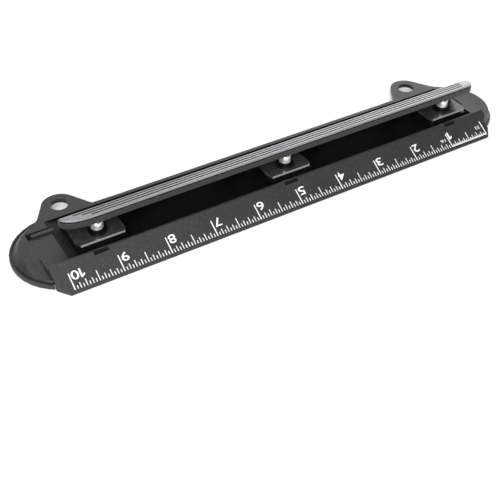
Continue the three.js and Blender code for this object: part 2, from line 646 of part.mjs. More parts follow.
function liftFork(x) {
  const halfSlot = PIN_NECK_RADIUS + FORK_SLOT_CLEARANCE;
  const frontY = PIN_Y - FORK_FRONT_ROOM;
  const backY = LEVER_CREST_Y + FORK_BACK_REACH;
  const slotEnd = arc(x, PIN_Y + FORK_SLOT_ROOM - halfSlot, halfSlot, 0, Math.PI, PIN_SIDES / 2);
  const outline = [
    [x - FORK_HALF_LENGTH, frontY],
    ...[...slotEnd, [x - halfSlot, frontY]].reverse(),
    [x + halfSlot, frontY],
    [x + FORK_HALF_LENGTH, frontY],
    [x + FORK_HALF_LENGTH, backY],
    [x - FORK_HALF_LENGTH, backY],
  ];
  return upright(outline, FORK_TOP_Z - FORK_THICKNESS, FORK_TOP_Z);
}

function rivet(x) {
  const seat = FOOT_TOP_Z + SEAT_GAP;
  return turned(
    [
      [0, seat - RIVET_DEPTH],
      [RIVET_SHANK_RADIUS, seat - RIVET_DEPTH],
      [RIVET_SHANK_RADIUS, seat],
      [RIVET_HEAD_RADIUS, seat],
      [RIVET_HEAD_RADIUS, seat + RIVET_HEAD_HEIGHT / 2],
      [RIVET_HEAD_RADIUS - RIVET_HEAD_HEIGHT / 2, seat + RIVET_HEAD_HEIGHT],
      [0, seat + RIVET_HEAD_HEIGHT],
    ],
    x,
    RIVET_Y,
  );
}

// Lever: a long cap with a skirt, a web down towards the hinge, arms with knuckles and end gussets
function leverOutline(inset, backY) {
  const front = LEVER_FRONT_Y + inset;
  const left = -LEVER_HALF_LENGTH + inset;
  const right = LEVER_HALF_LENGTH - inset;
  const taper = [];
  for (let step = 0; step <= TAPER_STEPS; step += 1) {
    const angle = (Math.PI / 2) * (step / TAPER_STEPS);
    taper.push([
      left + LEVER_TAPER_LENGTH * (1 - Math.sin(angle)),
      front + LEVER_TAPER_WIDTH * (1 - Math.cos(angle)),
    ]);
  }
  const radius = LEVER_END_RADIUS - inset;
  return [
    ...taper.reverse(),
    ...arc(right - radius, front + radius, radius, -Math.PI / 2, 0, TAPER_STEPS),
    ...arc(right - radius, backY - radius, radius, 0, Math.PI / 2, TAPER_STEPS),
    [left, backY],
  ];
}

function webHeight(y) {
  const drop = LEVER_TOP_Z - HINGE_Z - KNUCKLE_RADIUS;
  return LEVER_TOP_Z - (drop * (y - LEVER_CREST_Y)) / (HINGE_Y - LEVER_CREST_Y);
}

function leverBeam() {
  const cap = upright(leverOutline(0, LEVER_CREST_Y), LEVER_SKIRT_Z, LEVER_TOP_Z);
  const hollow = upright(
    leverOutline(LEVER_WALL, LEVER_CREST_Y + CUT_OVERRUN),
    LEVER_SKIRT_Z - CUT_OVERRUN,
    LEVER_TOP_Z - LEVER_WALL,
  );
  const web = bar(
    [
      [LEVER_CREST_Y - LEVER_WALL, LEVER_TOP_Z - LEVER_WALL],
      [LEVER_CREST_Y - LEVER_WALL / 2, LEVER_TOP_Z - LEVER_WALL],
      [LEVER_WEB_BACK_Y, webHeight(LEVER_WEB_BACK_Y) - LEVER_WALL],
      [LEVER_WEB_BACK_Y, webHeight(LEVER_WEB_BACK_Y)],
      [LEVER_CREST_Y, LEVER_TOP_Z],
      [LEVER_CREST_Y - LEVER_WALL, LEVER_TOP_Z],
    ],
    -CHEEK_OUTER_X,
    CHEEK_OUTER_X,
  );
  let solid = cap.subtract(hollow).add(web);
  const arm = [
    [LEVER_WEB_BACK_Y - LEVER_WALL, webHeight(LEVER_WEB_BACK_Y - LEVER_WALL) - LEVER_WALL],
    [HINGE_Y, HINGE_Z],
    [HINGE_Y, HINGE_Z + KNUCKLE_RADIUS],
    [LEVER_WEB_BACK_Y - LEVER_WALL, webHeight(LEVER_WEB_BACK_Y - LEVER_WALL)],
  ];
  const cheek = [
    [LEVER_CREST_Y - LEVER_WALL, LEVER_SKIRT_Z],
    [LEVER_WEB_BACK_Y, webHeight(LEVER_WEB_BACK_Y) - 2 * LEVER_WALL],
    [LEVER_WEB_BACK_Y, webHeight(LEVER_WEB_BACK_Y)],
    [LEVER_CREST_Y, LEVER_TOP_Z],
    [LEVER_CREST_Y - LEVER_WALL, LEVER_TOP_Z],
  ];
  // Under the web each pin's head has a pocket, because the web swings forward as it goes down
  const pocketBackY = LEVER_CREST_Y + POCKET_REACH;
  const pocket = [
    [LEVER_CREST_Y - LEVER_WALL, LEVER_SKIRT_Z],
    [pocketBackY, LEVER_SKIRT_Z - 2 * LEVER_WALL],
    [pocketBackY, webHeight(pocketBackY) - POCKET_SKIN],
    [LEVER_CREST_Y + LEVER_WALL - POCKET_SKIN, LEVER_TOP_Z - LEVER_WALL],
    [LEVER_CREST_Y - LEVER_WALL, LEVER_TOP_Z - LEVER_WALL],
  ];
  for (const station of STATIONS) {
    solid = solid.subtract(bar(pocket, station.x - POCKET_HALF_LENGTH, station.x + POCKET_HALF_LENGTH));
  }
  for (const side of SIDES) {
    for (const place of KNUCKLE_PLACES) {
      const lowX = side.sign * place - KNUCKLE_LENGTH / 2;
      const highX = lowX + KNUCKLE_LENGTH;
      solid = solid.add(bar(arm, lowX, highX)).add(hingeBar(KNUCKLE_RADIUS, lowX, highX));
    }
    const cheekX = side.sign > 0 ? CHEEK_INNER_X : -CHEEK_OUTER_X;
    solid = solid
      .add(bar(cheek, cheekX, cheekX + CHEEK_THICKNESS))
      .subtract(bayBar(side.sign, ROD_RADIUS + RUNNING_GAP));
  }
  return solid;
}

function gripStrip() {
  const lowZ = LEVER_TOP_Z + SEAT_GAP;
  const highZ = lowZ + GRIP_THICKNESS;
  let solid = upright(leverOutline(GRIP_INSET, LEVER_CREST_Y - GRIP_BACK_ROOM), lowZ, highZ);
  for (let i = 1; i <= GROOVE_COUNT; i += 1) {
    const y = LEVER_FRONT_Y + GRIP_INSET + GROOVE_PITCH * i;
    const margin = GROOVE_LEFT_MARGIN + GROOVE_STAGGER * (GROOVE_COUNT - i);
    const groove = block(
      [margin - LEVER_HALF_LENGTH, y - GROOVE_WIDTH / 2, highZ - GROOVE_DEPTH],
      [LEVER_HALF_LENGTH - GROOVE_RIGHT_MARGIN, y + GROOVE_WIDTH / 2, highZ + CUT_OVERRUN],
    );
    solid = solid.subtract(groove);
  }
  return solid;
}

// A hinge rod in each bay between two stations, with a retaining clip near each end
function clipLowX(sign, end) {
  const nearX = end === "inner" ? ROD_INNER_X + ROD_TAIL : ROD_OUTER_X - ROD_TAIL - CLIP_THICKNESS;
  return sign > 0 ? nearX : -nearX - CLIP_THICKNESS;
}

function hingeRod(sign) {
  let solid = bayBar(sign, ROD_RADIUS);
  for (const end of ROD_ENDS) {
    const lowX = clipLowX(sign, end) - RUNNING_GAP;
    const highX = clipLowX(sign, end) + CLIP_THICKNESS + RUNNING_GAP;
    const neck = hingeBar(ROD_RADIUS - ROD_GROOVE_DEPTH, lowX, highX);
    solid = solid.subtract(hingeBar(ROD_RADIUS + CUT_OVERRUN, lowX, highX)).add(neck);
  }
  return solid;
}

function rodClip(sign, end) {
  const lowX = clipLowX(sign, end);
  const highX = lowX + CLIP_THICKNESS;
  const mouth = block(
    [lowX - CUT_OVERRUN, HINGE_Y - CLIP_MOUTH / 2, HINGE_Z],
    [highX + CUT_OVERRUN, HINGE_Y + CLIP_MOUTH / 2, HINGE_Z + CLIP_RADIUS + CUT_OVERRUN],
  );
  const bore = hingeBar(ROD_RADIUS - ROD_GROOVE_DEPTH + RUNNING_GAP, lowX - CUT_OVERRUN, highX + CUT_OVERRUN);
  return hingeBar(CLIP_RADIUS, lowX, highX).subtract(bore).subtract(mouth);
}

// Torsion spring round the rod: one leg stands on the trough floor, the other lifts the lever's web
function tangentAngle(targetY, targetZ, turnSign) {
  const reach = Math.hypot(targetY - HINGE_Y, targetZ - HINGE_Z);
  const heading = Math.atan2(targetZ - HINGE_Z, targetY - HINGE_Y);
  return heading + turnSign * Math.acos(SPRING_COIL_RADIUS / reach);
}

function springPath(centreX) {
  const wire = 2 * SPRING_WIRE_RADIUS;
  const lowY = HINGE_Y - SPRING_LOW_LEG_REACH;
  const highY = HINGE_Y - SPRING_HIGH_LEG_REACH;
  const lowZ = FLOOR_TOP_Z + SEAT_GAP;
  const highZ = webHeight(highY) - 2 * LEVER_WALL;
  const startX = centreX - (SPRING_TURNS * SPRING_PITCH) / 2;
  const startAngle = tangentAngle(lowY, lowZ + wire, -1);
  const stopAngle = tangentAngle(highY, highZ - wire, 1);
  const sweep = ((startAngle - stopAngle) % (2 * Math.PI)) + 2 * Math.PI * SPRING_TURNS;
  const steps = Math.ceil((sweep / (2 * Math.PI)) * SPRING_STEPS);
  const points = [
    [startX, lowY, lowZ],
    [startX, lowY, lowZ + wire],
  ];
  for (let step = 0; step <= steps; step += 1) {
    const turn = (sweep * step) / steps;
    const angle = startAngle - turn;
    points.push([
      startX + (SPRING_PITCH * turn) / (2 * Math.PI),
      HINGE_Y + SPRING_COIL_RADIUS * Math.cos(angle),
      HINGE_Z + SPRING_COIL_RADIUS * Math.sin(angle),
    ]);
  }
  const endX = points.at(-1)[0];
  points.push([endX, highY, highZ - wire], [endX, highY, highZ]);
  return points.map(([x, y, z]) => new THREE.Vector3(x, y, z));
}

/** A closed tube of flat-ended rings along a list of points. */
function wireTube(points, radius, sides) {
  const positions = [];
  const index = [];
  const along = new THREE.Vector3(1, 0, 0);
  points.forEach((point, i) => {
    const before = points[Math.max(i - 1, 0)];
    const after = points[Math.min(i + 1, points.length - 1)];
    const tangent = after.clone().sub(before).normalize();
    const across = along.clone().addScaledVector(tangent, -along.dot(tangent)).normalize();
    const third = tangent.clone().cross(across);
    for (let side = 0; side < sides; side += 1) {
      const angle = (2 * Math.PI * side) / sides;
      const corner = point
        .clone()
        .addScaledVector(across, radius * Math.cos(angle))
        .addScaledVector(third, radius * Math.sin(angle));
      positions.push(corner.x, corner.y, corner.z);
    }
  });
  for (let ring = 0; ring < points.length - 1; ring += 1) {
    for (let side = 0; side < sides; side += 1) {
      const a = ring * sides + side;
      const b = ring * sides + ((side + 1) % sides);
      index.push(a, b, b + sides, a, b + sides, a + sides);
    }
  }
  const last = (points.length - 1) * sides;
  for (let side = 1; side < sides - 1; side += 1) {
    index.push(0, side + 1, side, last, last + side, last + side + 1);
  }
  const geometry = new THREE.BufferGeometry();
  geometry.setAttribute("position", new THREE.Float32BufferAttribute(positions, 3));
  geometry.setIndex(index);
  geometry.computeVertexNormals();
  return geometry;
}

/** Least gap between stretches of the wire that lie half a turn or more apart. */
function leastGap(points) {
  let least = Infinity;
  for (let i = 0; i < points.length; i += 1) {
    for (let j = i + SPRING_STEPS / 2; j < points.length; j += 1) {
      least = Math.min(least, points[i].distanceTo(points[j]) - 2 * SPRING_WIRE_RADIUS);
    }
  }
  return least;
}

// Assembly
const punch = new THREE.Group();
punch.position.x = -(LOBE_LEFT_X - TRAY_RADIUS + LOBE_RIGHT_X + TRAY_RIGHT_RADIUS) / 2;
punch.position.y = -(EAR_HOLE_Y + EAR_TIP_RADIUS) / 2;

function place(name, geometry, finish) {
  const mesh = new THREE.Mesh(geometry, new THREE.MeshStandardMaterial(finish));
  mesh.name = name;
  punch.add(mesh);
}

place("base_frame", toGeometry(baseFrame()), finishes.blackPlastic);
place("chip_tray", toGeometry(chipTray()), finishes.trayPlastic);
place("lever_beam", toGeometry(leverBeam()), finishes.blackPlastic);
place("lever_grip_strip", toGeometry(gripStrip()), finishes.gripMetal);
for (const side of SIDES) {
  place(`hinge_rod_${side.name}`, toGeometry(hingeRod(side.sign)), finishes.springSteel);
  for (const end of ROD_ENDS) {
    place(`rod_clip_${side.name}_${end}`, toGeometry(rodClip(side.sign, end)), finishes.springSteel);
  }
  const points = springPath(side.sign * SPRING_X);
  const name = `lever_spring_${side.name}`;
  console.log(`${name}: least gap ${leastGap(points).toFixed(2)} mm`);
  place(name, wireTube(points, SPRING_WIRE_RADIUS, SPRING_SIDES), finishes.springSteel);
}
for (const station of STATIONS) {
  place(`die_plate_${station.name}`, toGeometry(diePlate(station.x)), finishes.darkSteel);
  place(`guide_frame_${station.name}`, toGeometry(guideFrame(station.x)), finishes.darkSteel);
  place(`punch_pin_${station.name}`, toGeometry(punchPin(station.x)), finishes.polishedSteel);
  place(`lift_fork_${station.name}`, toGeometry(liftFork(station.x)), finishes.darkSteel);
  for (const side of SIDES) {
    const rivetX = station.x + side.sign * RIVET_OFFSET_X;
    place(`frame_rivet_${station.name}_${side.name}`, toGeometry(rivet(rivetX)), finishes.springSteel);
  }
}

export default punch;
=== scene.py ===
"""A slim three-hole punch with a ruler edge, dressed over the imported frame.

Lengths are in metres. The frame's X runs along the ruler towards its zero, Y from the ruler's edge
to the ring ears and Z up from the desk. The helper `at` takes millimetres measured from the ruler's
front edge, as the part's own drawing does.
"""

import logging
import math
from collections.abc import Callable
from dataclasses import dataclass, field
from enum import Enum

import bmesh
import bpy
from mathutils import Matrix, Quaternion, Vector


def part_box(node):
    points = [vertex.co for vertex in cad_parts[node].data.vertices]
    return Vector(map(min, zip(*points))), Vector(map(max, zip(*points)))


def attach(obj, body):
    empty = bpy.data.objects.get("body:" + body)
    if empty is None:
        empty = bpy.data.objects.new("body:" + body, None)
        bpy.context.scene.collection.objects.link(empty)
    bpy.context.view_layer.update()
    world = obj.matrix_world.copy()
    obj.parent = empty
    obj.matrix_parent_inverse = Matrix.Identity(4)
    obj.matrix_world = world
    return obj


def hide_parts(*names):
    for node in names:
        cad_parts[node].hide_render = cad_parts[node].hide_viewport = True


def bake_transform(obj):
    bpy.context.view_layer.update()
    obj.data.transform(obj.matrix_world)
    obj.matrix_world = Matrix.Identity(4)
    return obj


LOG = logging.getLogger("three_hole_punch")
MM = 0.001
RULER_EDGE_SETBACK = 35.3
MIDDLE_PUNCH_X = 3.05
PUNCH_PITCH = 107.95
HINGE_Y = 41.5
HINGE_Z = 6.6
PIN_Y = 25.2
SIDE_NAMES = ("left", "right")

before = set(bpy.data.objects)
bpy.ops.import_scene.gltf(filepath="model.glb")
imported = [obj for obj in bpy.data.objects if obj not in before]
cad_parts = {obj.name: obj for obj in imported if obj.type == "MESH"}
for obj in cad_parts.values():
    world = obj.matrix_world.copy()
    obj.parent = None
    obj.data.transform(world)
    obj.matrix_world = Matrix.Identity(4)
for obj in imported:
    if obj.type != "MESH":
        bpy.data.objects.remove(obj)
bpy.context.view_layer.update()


class Body(Enum):
    """The CAD bodies that the pieces ride on."""

    BASE = "base"
    LEVER = "lever"
    PIN_LEFT = "pin_left"
    PIN_MIDDLE = "pin_middle"
    PIN_RIGHT = "pin_right"


class Slot(Enum):
    """The record's material slots."""

    BLACK_PLASTIC = "black_plastic"
    TRAY_PLASTIC = "tray_plastic"
    GRIP_METAL = "grip_metal"
    POLISHED_STEEL = "polished_steel"
    DARK_STEEL = "dark_steel"
    SPRING_STEEL = "spring_steel"


def at(x: float, y: float, z: float) -> Vector:
    """A point in the frame from millimetres measured from the ruler's front edge.

    Args:
        x: Distance along the ruler from the middle punch.
        y: Distance back from the ruler's front edge.
        z: Height above the desk.

    Returns:
        The same point in metres in the frame.
    """
    return Vector(((x + MIDDLE_PUNCH_X) * MM, (y - RULER_EDGE_SETBACK) * MM, z * MM))


def link(name: str, mesh: bpy.types.Mesh) -> bpy.types.Object:
    """Puts a mesh in the scene under a name and returns its object."""
    piece = bpy.data.objects.new(name, mesh)
    bpy.context.scene.collection.objects.link(piece)
    return piece


def plain_mesh(piece: bpy.types.Object) -> bpy.types.Object:
    """Bakes a piece's modifiers into its mesh and removes them.

    Args:
        piece: The object whose modifiers are finished.

    Returns:
        The same object with a plain mesh.
    """
    graph = bpy.context.evaluated_depsgraph_get()
    graph.update()
    made = bpy.data.meshes.new_from_object(piece.evaluated_get(graph))
    piece.modifiers.clear()
    piece.data = made
    return piece


def shade(mesh: bpy.types.Mesh, angle: float = 32.0) -> None:
    """Shades a mesh smooth, except across edges sharper than an angle.

    Args:
        mesh: The mesh to shade.
        angle: The sharpest smooth edge, in degrees.
    """
    limit = math.radians(angle)
    work = bmesh.new()
    work.from_mesh(mesh)
    for face in work.faces:
        face.smooth = True
    for edge in work.edges:
        edge.smooth = edge.is_manifold and edge.calc_face_angle(0.0) < limit
    work.to_mesh(mesh)
    work.free()


def cad_copy(node: str, name: str) -> bpy.types.Object:
    """Copies a CAD node as one merged mesh with its flat areas joined into whole faces.

    Args:
        node: The CAD node to copy.
        name: The new piece's name.

    Returns:
        The copy's object.
    """
    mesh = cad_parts[node].data.copy()
    mesh.materials.clear()
    work = bmesh.new()
    work.from_mesh(mesh)
    bmesh.ops.remove_doubles(work, verts=work.verts, dist=2e-6)
    bmesh.ops.dissolve_degenerate(work, edges=work.edges, dist=1e-6)
    bmesh.ops.dissolve_limit(
        work, angle_limit=math.radians(0.6), verts=work.verts, edges=work.edges
    )
    work.to_mesh(mesh)
    work.free()
    return link(name, mesh)


def soften(piece: bpy.types.Object, width: float, segments: int = 2, angle: float = 34.0) -> None:
    """Rounds a piece's edges as a mould or a tumbler does.

    Args:
        piece: The piece to round.
        width: The width of the rounding in millimetres.
        segments: The number of faces across it.
        angle: The bluntest edge that is rounded, in degrees.
    """
    bevel = piece.modifiers.new("edge rounding", "BEVEL")
    bevel.width = width * MM
    bevel.segments = segments
    bevel.limit_method = "ANGLE"
    bevel.angle_limit = math.radians(angle)
    bevel.use_clamp_overlap = True
    bevel.harden_normals = False
    plain_mesh(piece)
    shade(piece.data, 30.0)
    normals = piece.modifiers.new("even shading", "WEIGHTED_NORMAL")
    normals.keep_sharp = True
    normals.weight = 60
    plain_mesh(piece)


def settle(
    piece: bpy.types.Object,
    body: Body,
    slot: Slot | None,
    material: bpy.types.Material,
    *nodes: str,
) -> bpy.types.Object:
    """Gives a piece its finish and body, and hides the CAD nodes that it stands for.

    Args:
        piece: The finished piece.
        body: The body that it rides on.
        slot: The record's slot of its finish, or None for ink, which has no slot; not used.
        material: Its material.
        nodes: The CAD nodes that it stands for.

    Returns:
        The same object.
    """
    piece.data.materials.clear()
    piece.data.materials.append(material)
    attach(piece, body.value)
    if nodes:
        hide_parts(*nodes)
    LOG.info("%s: %d faces on %s", piece.name, len(piece.data.polygons), body.value)
    return piece


def repaint(
    piece: bpy.types.Object,
    material: bpy.types.Material,
    chosen: Callable[[Vector, Vector], bool],
) -> None:
    """Gives some of a piece's faces a second finish.

    Args:
        piece: The piece, already settled.
        material: The second finish.
        chosen: Told a face's middle, in millimetres as `at` takes them, and its normal.
    """
    piece.data.materials.append(material)
    last = len(piece.data.materials) - 1
    for face in piece.data.polygons:
        middle = face.center / MM + Vector((-MIDDLE_PUNCH_X, RULER_EDGE_SETBACK, 0.0))
        if chosen(middle, face.normal):
            face.material_index = last


def sweep_rings(rings: list[list[Vector]], name: str) -> bpy.types.Mesh:
    """A closed tube through rings of as many points each, capped at both ends.

    Args:
        rings: The rings in order.
        name: The mesh's name.

    Returns:
        The mesh, with its faces outward.
    """
    count = len(rings[0])
    work = bmesh.new()
    made = [[work.verts.new(point) for point in ring] for ring in rings]
    for before, after in zip(made, made[1:]):
        for i in range(count):
            j = (i + 1) % count
            work.faces.new((before[i], before[j], after[j], after[i]))
    work.faces.new(made[0][::-1])
    work.faces.new(made[-1])
    bmesh.ops.recalc_face_normals(work, faces=work.faces)
    mesh = bpy.data.meshes.new(name)
    work.to_mesh(mesh)
    work.free()
    return mesh


def lathe(
    profile: list[tuple[float, float]], centre: tuple[float, float], sides: int, name: str
) -> bpy.types.Mesh:
    """A turned mesh on an upright axis.

    Args:
        profile: Radius and height pairs in millimetres, both ends on the axis.
        centre: The axis' place in millimetres from the ruler's edge.
        sides: Faces round the axis.
        name: The mesh's name.

    Returns:
        The mesh, with its faces outward and its poles closed.
    """
    work = bmesh.new()
    rings = []
    for radius, height in profile:
        if radius == 0:
            rings.append([work.verts.new(at(centre[0], centre[1], height))])
            continue
        ring = []
        for i in range(sides):
            turn = 2 * math.pi * i / sides
            x = centre[0] + radius * math.cos(turn)
            y = centre[1] + radius * math.sin(turn)
            ring.append(work.verts.new(at(x, y, height)))
        rings.append(ring)
    for low, high in zip(rings, rings[1:]):
        for i in range(sides):
            j = (i + 1) % sides
            corners = [low[i % len(low)], low[j % len(low)], high[j % len(high)], high[i % len(high)]]
            whole = list(dict.fromkeys(corners))
            if len(whole) > 2:
                work.faces.new(whole)
    bmesh.ops.recalc_face_normals(work, faces=work.faces)
    mesh = bpy.data.meshes.new(name)
    work.to_mesh(mesh)
    work.free()
    return mesh


class GroupBuilder:
    """Builds one shader node group with named inputs and outputs."""

    def __init__(self, name: str, inputs: dict[str, float], outputs: tuple[str, ...]) -> None:
        """Makes the empty group.

        Args:
            name: The group's name.
            inputs: Each input's name and value.
            outputs: The names of its outputs.
        """
        self.tree = bpy.data.node_groups.new(name, "ShaderNodeTree")
        for label, value in inputs.items():
            socket = self.tree.interface.new_socket(label, in_out="INPUT", socket_type="NodeSocketFloat")
            socket.default_value = value
        for label in outputs:
            self.tree.interface.new_socket(label, in_out="OUTPUT", socket_type="NodeSocketFloat")
        self.start = self.tree.nodes.new("NodeGroupInput")
        self.end = self.tree.nodes.new("NodeGroupOutput")

    def node(self, kind: str, **settings: object) -> bpy.types.Node:
        """Adds a node and sets its plain properties."""
        made = self.tree.nodes.new(kind)
        for key, value in settings.items():
            setattr(made, key, value)
        return made

    def join(self, source: bpy.types.NodeSocket, target: bpy.types.NodeSocket) -> None:
        """Links one socket to another."""
        self.tree.links.new(source, target)

    def noise(
        self, scale: bpy.types.NodeSocket, detail: float, stretch: tuple[float, float, float]
    ) -> bpy.types.Node:
        """A noise on Object coordinates.

        Args:
            scale: The socket that gives its scale, in features a metre.
            detail: Its detail.
            stretch: A factor on each axis.

        Returns:
            The noise node.
        """
        place = self.node("ShaderNodeTexCoord")
        mapping = self.node("ShaderNodeMapping")
        mapping.inputs["Scale"].default_value = stretch
        texture = self.node("ShaderNodeTexNoise")
        texture.inputs["Detail"].default_value = detail
        self.join(place.outputs["Object"], mapping.inputs["Vector"])
        self.join(mapping.outputs["Vector"], texture.inputs["Vector"])
        self.join(scale, texture.inputs["Scale"])
        return texture

    def product(self, first: bpy.types.NodeSocket, second: bpy.types.NodeSocket) -> bpy.types.NodeSocket:
        """Multiplies two values with a math node and returns its output."""
        made = self.node("ShaderNodeMath", operation="MULTIPLY")
        self.join(first, made.inputs[0])
        self.join(second, made.inputs[1])
        return made.outputs[0]


@dataclass(frozen=True)
class SharedEffects:
    """The node groups that more than one finish uses."""

    grain: bpy.types.NodeTree
    edge_wear: bpy.types.NodeTree
    dust: bpy.types.NodeTree
    drawn_lines: bpy.types.NodeTree

    @classmethod
    def build(cls) -> "SharedEffects":
        """Builds the four groups once."""
        return cls(cls._grain(), cls._edge_wear(), cls._dust(), cls._drawn_lines())

    @staticmethod
    def _grain() -> bpy.types.NodeTree:
        """Spark-eroded mould texture: a fine height and a broad cloudy shade."""
        scales = {"Fine Scale": 3200.0, "Cloud Scale": 60.0}
        group = GroupBuilder("moulded grain", scales, ("Height", "Shade"))
        fine = group.noise(group.start.outputs["Fine Scale"], 3.0, (1.0, 1.0, 1.0))
        cloud = group.noise(group.start.outputs["Cloud Scale"], 5.0, (1.0, 1.0, 1.0))
        group.join(fine.outputs["Fac"], group.end.inputs["Height"])
        group.join(cloud.outputs["Fac"], group.end.inputs["Shade"])
        return group.tree

    @staticmethod
    def _edge_wear() -> bpy.types.NodeTree:
        """A broken mask along the edges, where handling polishes the surface."""
        group = GroupBuilder("edge wear", {"Radius": 0.0004, "Breakup Scale": 400.0}, ("Mask",))
        rounded = group.node("ShaderNodeBevel", samples=4)
        group.join(group.start.outputs["Radius"], rounded.inputs["Radius"])
        flat = group.node("ShaderNodeNewGeometry")
        facing = group.node("ShaderNodeVectorMath", operation="DOT_PRODUCT")
        group.join(rounded.outputs["Normal"], facing.inputs[0])
        group.join(flat.outputs["Normal"], facing.inputs[1])
        edge = group.node("ShaderNodeMapRange")
        edge.inputs["From Min"].default_value = 0.995
        edge.inputs["From Max"].default_value = 0.86
        group.join(facing.outputs["Value"], edge.inputs["Value"])
        patchy = group.noise(group.start.outputs["Breakup Scale"], 4.0, (1.0, 1.0, 1.0))
        gate = group.node("ShaderNodeMapRange")
        gate.inputs["From Min"].default_value = 0.42
        gate.inputs["From Max"].default_value = 0.62
        group.join(patchy.outputs["Fac"], gate.inputs["Value"])
        group.join(group.product(edge.outputs[0], gate.outputs[0]), group.end.inputs["Mask"])
        return group.tree

    @staticmethod
    def _dust() -> bpy.types.NodeTree:
        """A thin mask of settled dust on what faces up."""
        group = GroupBuilder("settled dust", {"Amount": 0.1, "Speck Scale": 900.0}, ("Mask",))
        flat = group.node("ShaderNodeNewGeometry")
        parts = group.node("ShaderNodeSeparateXYZ")
        group.join(flat.outputs["Normal"], parts.inputs[0])
        up = group.node("ShaderNodeMapRange")
        up.inputs["From Min"].default_value = 0.4
        up.inputs["From Max"].default_value = 1.0
        group.join(parts.outputs["Z"], up.inputs["Value"])
        speck = group.noise(group.start.outputs["Speck Scale"], 6.0, (1.0, 1.0, 1.0))
        gate = group.node("ShaderNodeMapRange")
        gate.inputs["From Min"].default_value = 0.5
        gate.inputs["From Max"].default_value = 0.8
        group.join(speck.outputs["Fac"], gate.inputs["Value"])
        both = group.product(up.outputs[0], gate.outputs[0])
        group.join(group.product(both, group.start.outputs["Amount"]), group.end.inputs["Mask"])
        return group.tree

    @staticmethod
    def _drawn_lines() -> bpy.types.NodeTree:
        """Fine lines along X, as drawing or rolling leaves on metal."""
        group = GroupBuilder("drawn lines", {"Line Scale": 2600.0, "Patch Scale": 90.0}, ("Height", "Shade"))
        lines = group.noise(group.start.outputs["Line Scale"], 4.0, (0.012, 1.0, 1.0))
        patch = group.noise(group.start.outputs["Patch Scale"], 4.0, (0.25, 1.0, 1.0))
        group.join(lines.outputs["Fac"], group.end.inputs["Height"])
        group.join(patch.outputs["Fac"], group.end.inputs["Shade"])
        return group.tree


class MaterialBuilder:
    """One Principled material whose inputs are fed by groups and plain nodes."""

    def __init__(self, name: str) -> None:
        """Makes the material and finds its shader."""
        self.material = bpy.data.materials.new(name)
        self.material.use_nodes = True
        self.nodes = self.material.node_tree.nodes
        self.shader = self.nodes["Principled BSDF"]

    def group(self, tree: bpy.types.NodeTree, **values: float) -> bpy.types.Node:
        """Places a shared group and sets its named inputs.

        Args:
            tree: The group.
            values: Input values, with spaces in a name written as underscores.

        Returns:
            The group's node.
        """
        made = self.nodes.new("ShaderNodeGroup")
        made.node_tree = tree
        for key, value in values.items():
            made.inputs[key.replace("_", " ")].default_value = value
        return made

    def link(self, source: bpy.types.NodeSocket, target: bpy.types.NodeSocket) -> None:
        """Links one socket to another."""
        self.material.node_tree.links.new(source, target)

    def blend(
        self,
        factor: bpy.types.NodeSocket,
        low: tuple[float, float, float] | bpy.types.NodeSocket,
        high: tuple[float, float, float],
    ) -> bpy.types.NodeSocket:
        """Mixes two colours by a mask.

        Args:
            factor: The mask.
            low: The colour, or a socket that gives it, where the mask is 0.
            high: The colour where it is 1.

        Returns:
            The mixed colour's socket.
        """
        mix = self.nodes.new("ShaderNodeMix")
        mix.data_type = "RGBA"
        self.link(factor, mix.inputs["Factor"])
        if isinstance(low, bpy.types.NodeSocket):
            self.link(low, mix.inputs["A"])
        else:
            mix.inputs["A"].default_value = (*low, 1.0)
        mix.inputs["B"].default_value = (*high, 1.0)
        return mix.outputs["Result"]

    def spread(self, value: bpy.types.NodeSocket, low: float, high: float) -> bpy.types.NodeSocket:
        """Maps a 0.3 to 0.7 noise onto a range and returns the result."""
        made = self.nodes.new("ShaderNodeMapRange")
        made.inputs["From Min"].default_value = 0.3
        made.inputs["From Max"].default_value = 0.7
        made.inputs["To Min"].default_value = low
        made.inputs["To Max"].default_value = high
        self.link(value, made.inputs["Value"])
        return made.outputs[0]

    def lessen(
        self, value: bpy.types.NodeSocket, mask: bpy.types.NodeSocket, share: float
    ) -> bpy.types.NodeSocket:
        """Takes a share of a mask off a value and returns the result."""
        scaled = self.nodes.new("ShaderNodeMath")
        scaled.operation = "MULTIPLY"
        scaled.inputs[1].default_value = share
        self.link(mask, scaled.inputs[0])
        rest = self.nodes.new("ShaderNodeMath")
        rest.operation = "SUBTRACT"
        self.link(value, rest.inputs[0])
        self.link(scaled.outputs[0], rest.inputs[1])
        return rest.outputs[0]

    def bump(self, height: bpy.types.NodeSocket, depth: float, strength: float = 1.0) -> None:
        """Feeds a height into the shader's normal.

        Args:
            height: The height's socket, from 0 to 1.
            depth: Its depth in metres.
            strength: How much of it shows.
        """
        made = self.nodes.new("ShaderNodeBump")
        made.inputs["Distance"].default_value = depth
        made.inputs["Strength"].default_value = strength
        self.link(height, made.inputs["Height"])
        self.link(made.outputs["Normal"], self.shader.inputs["Normal"])


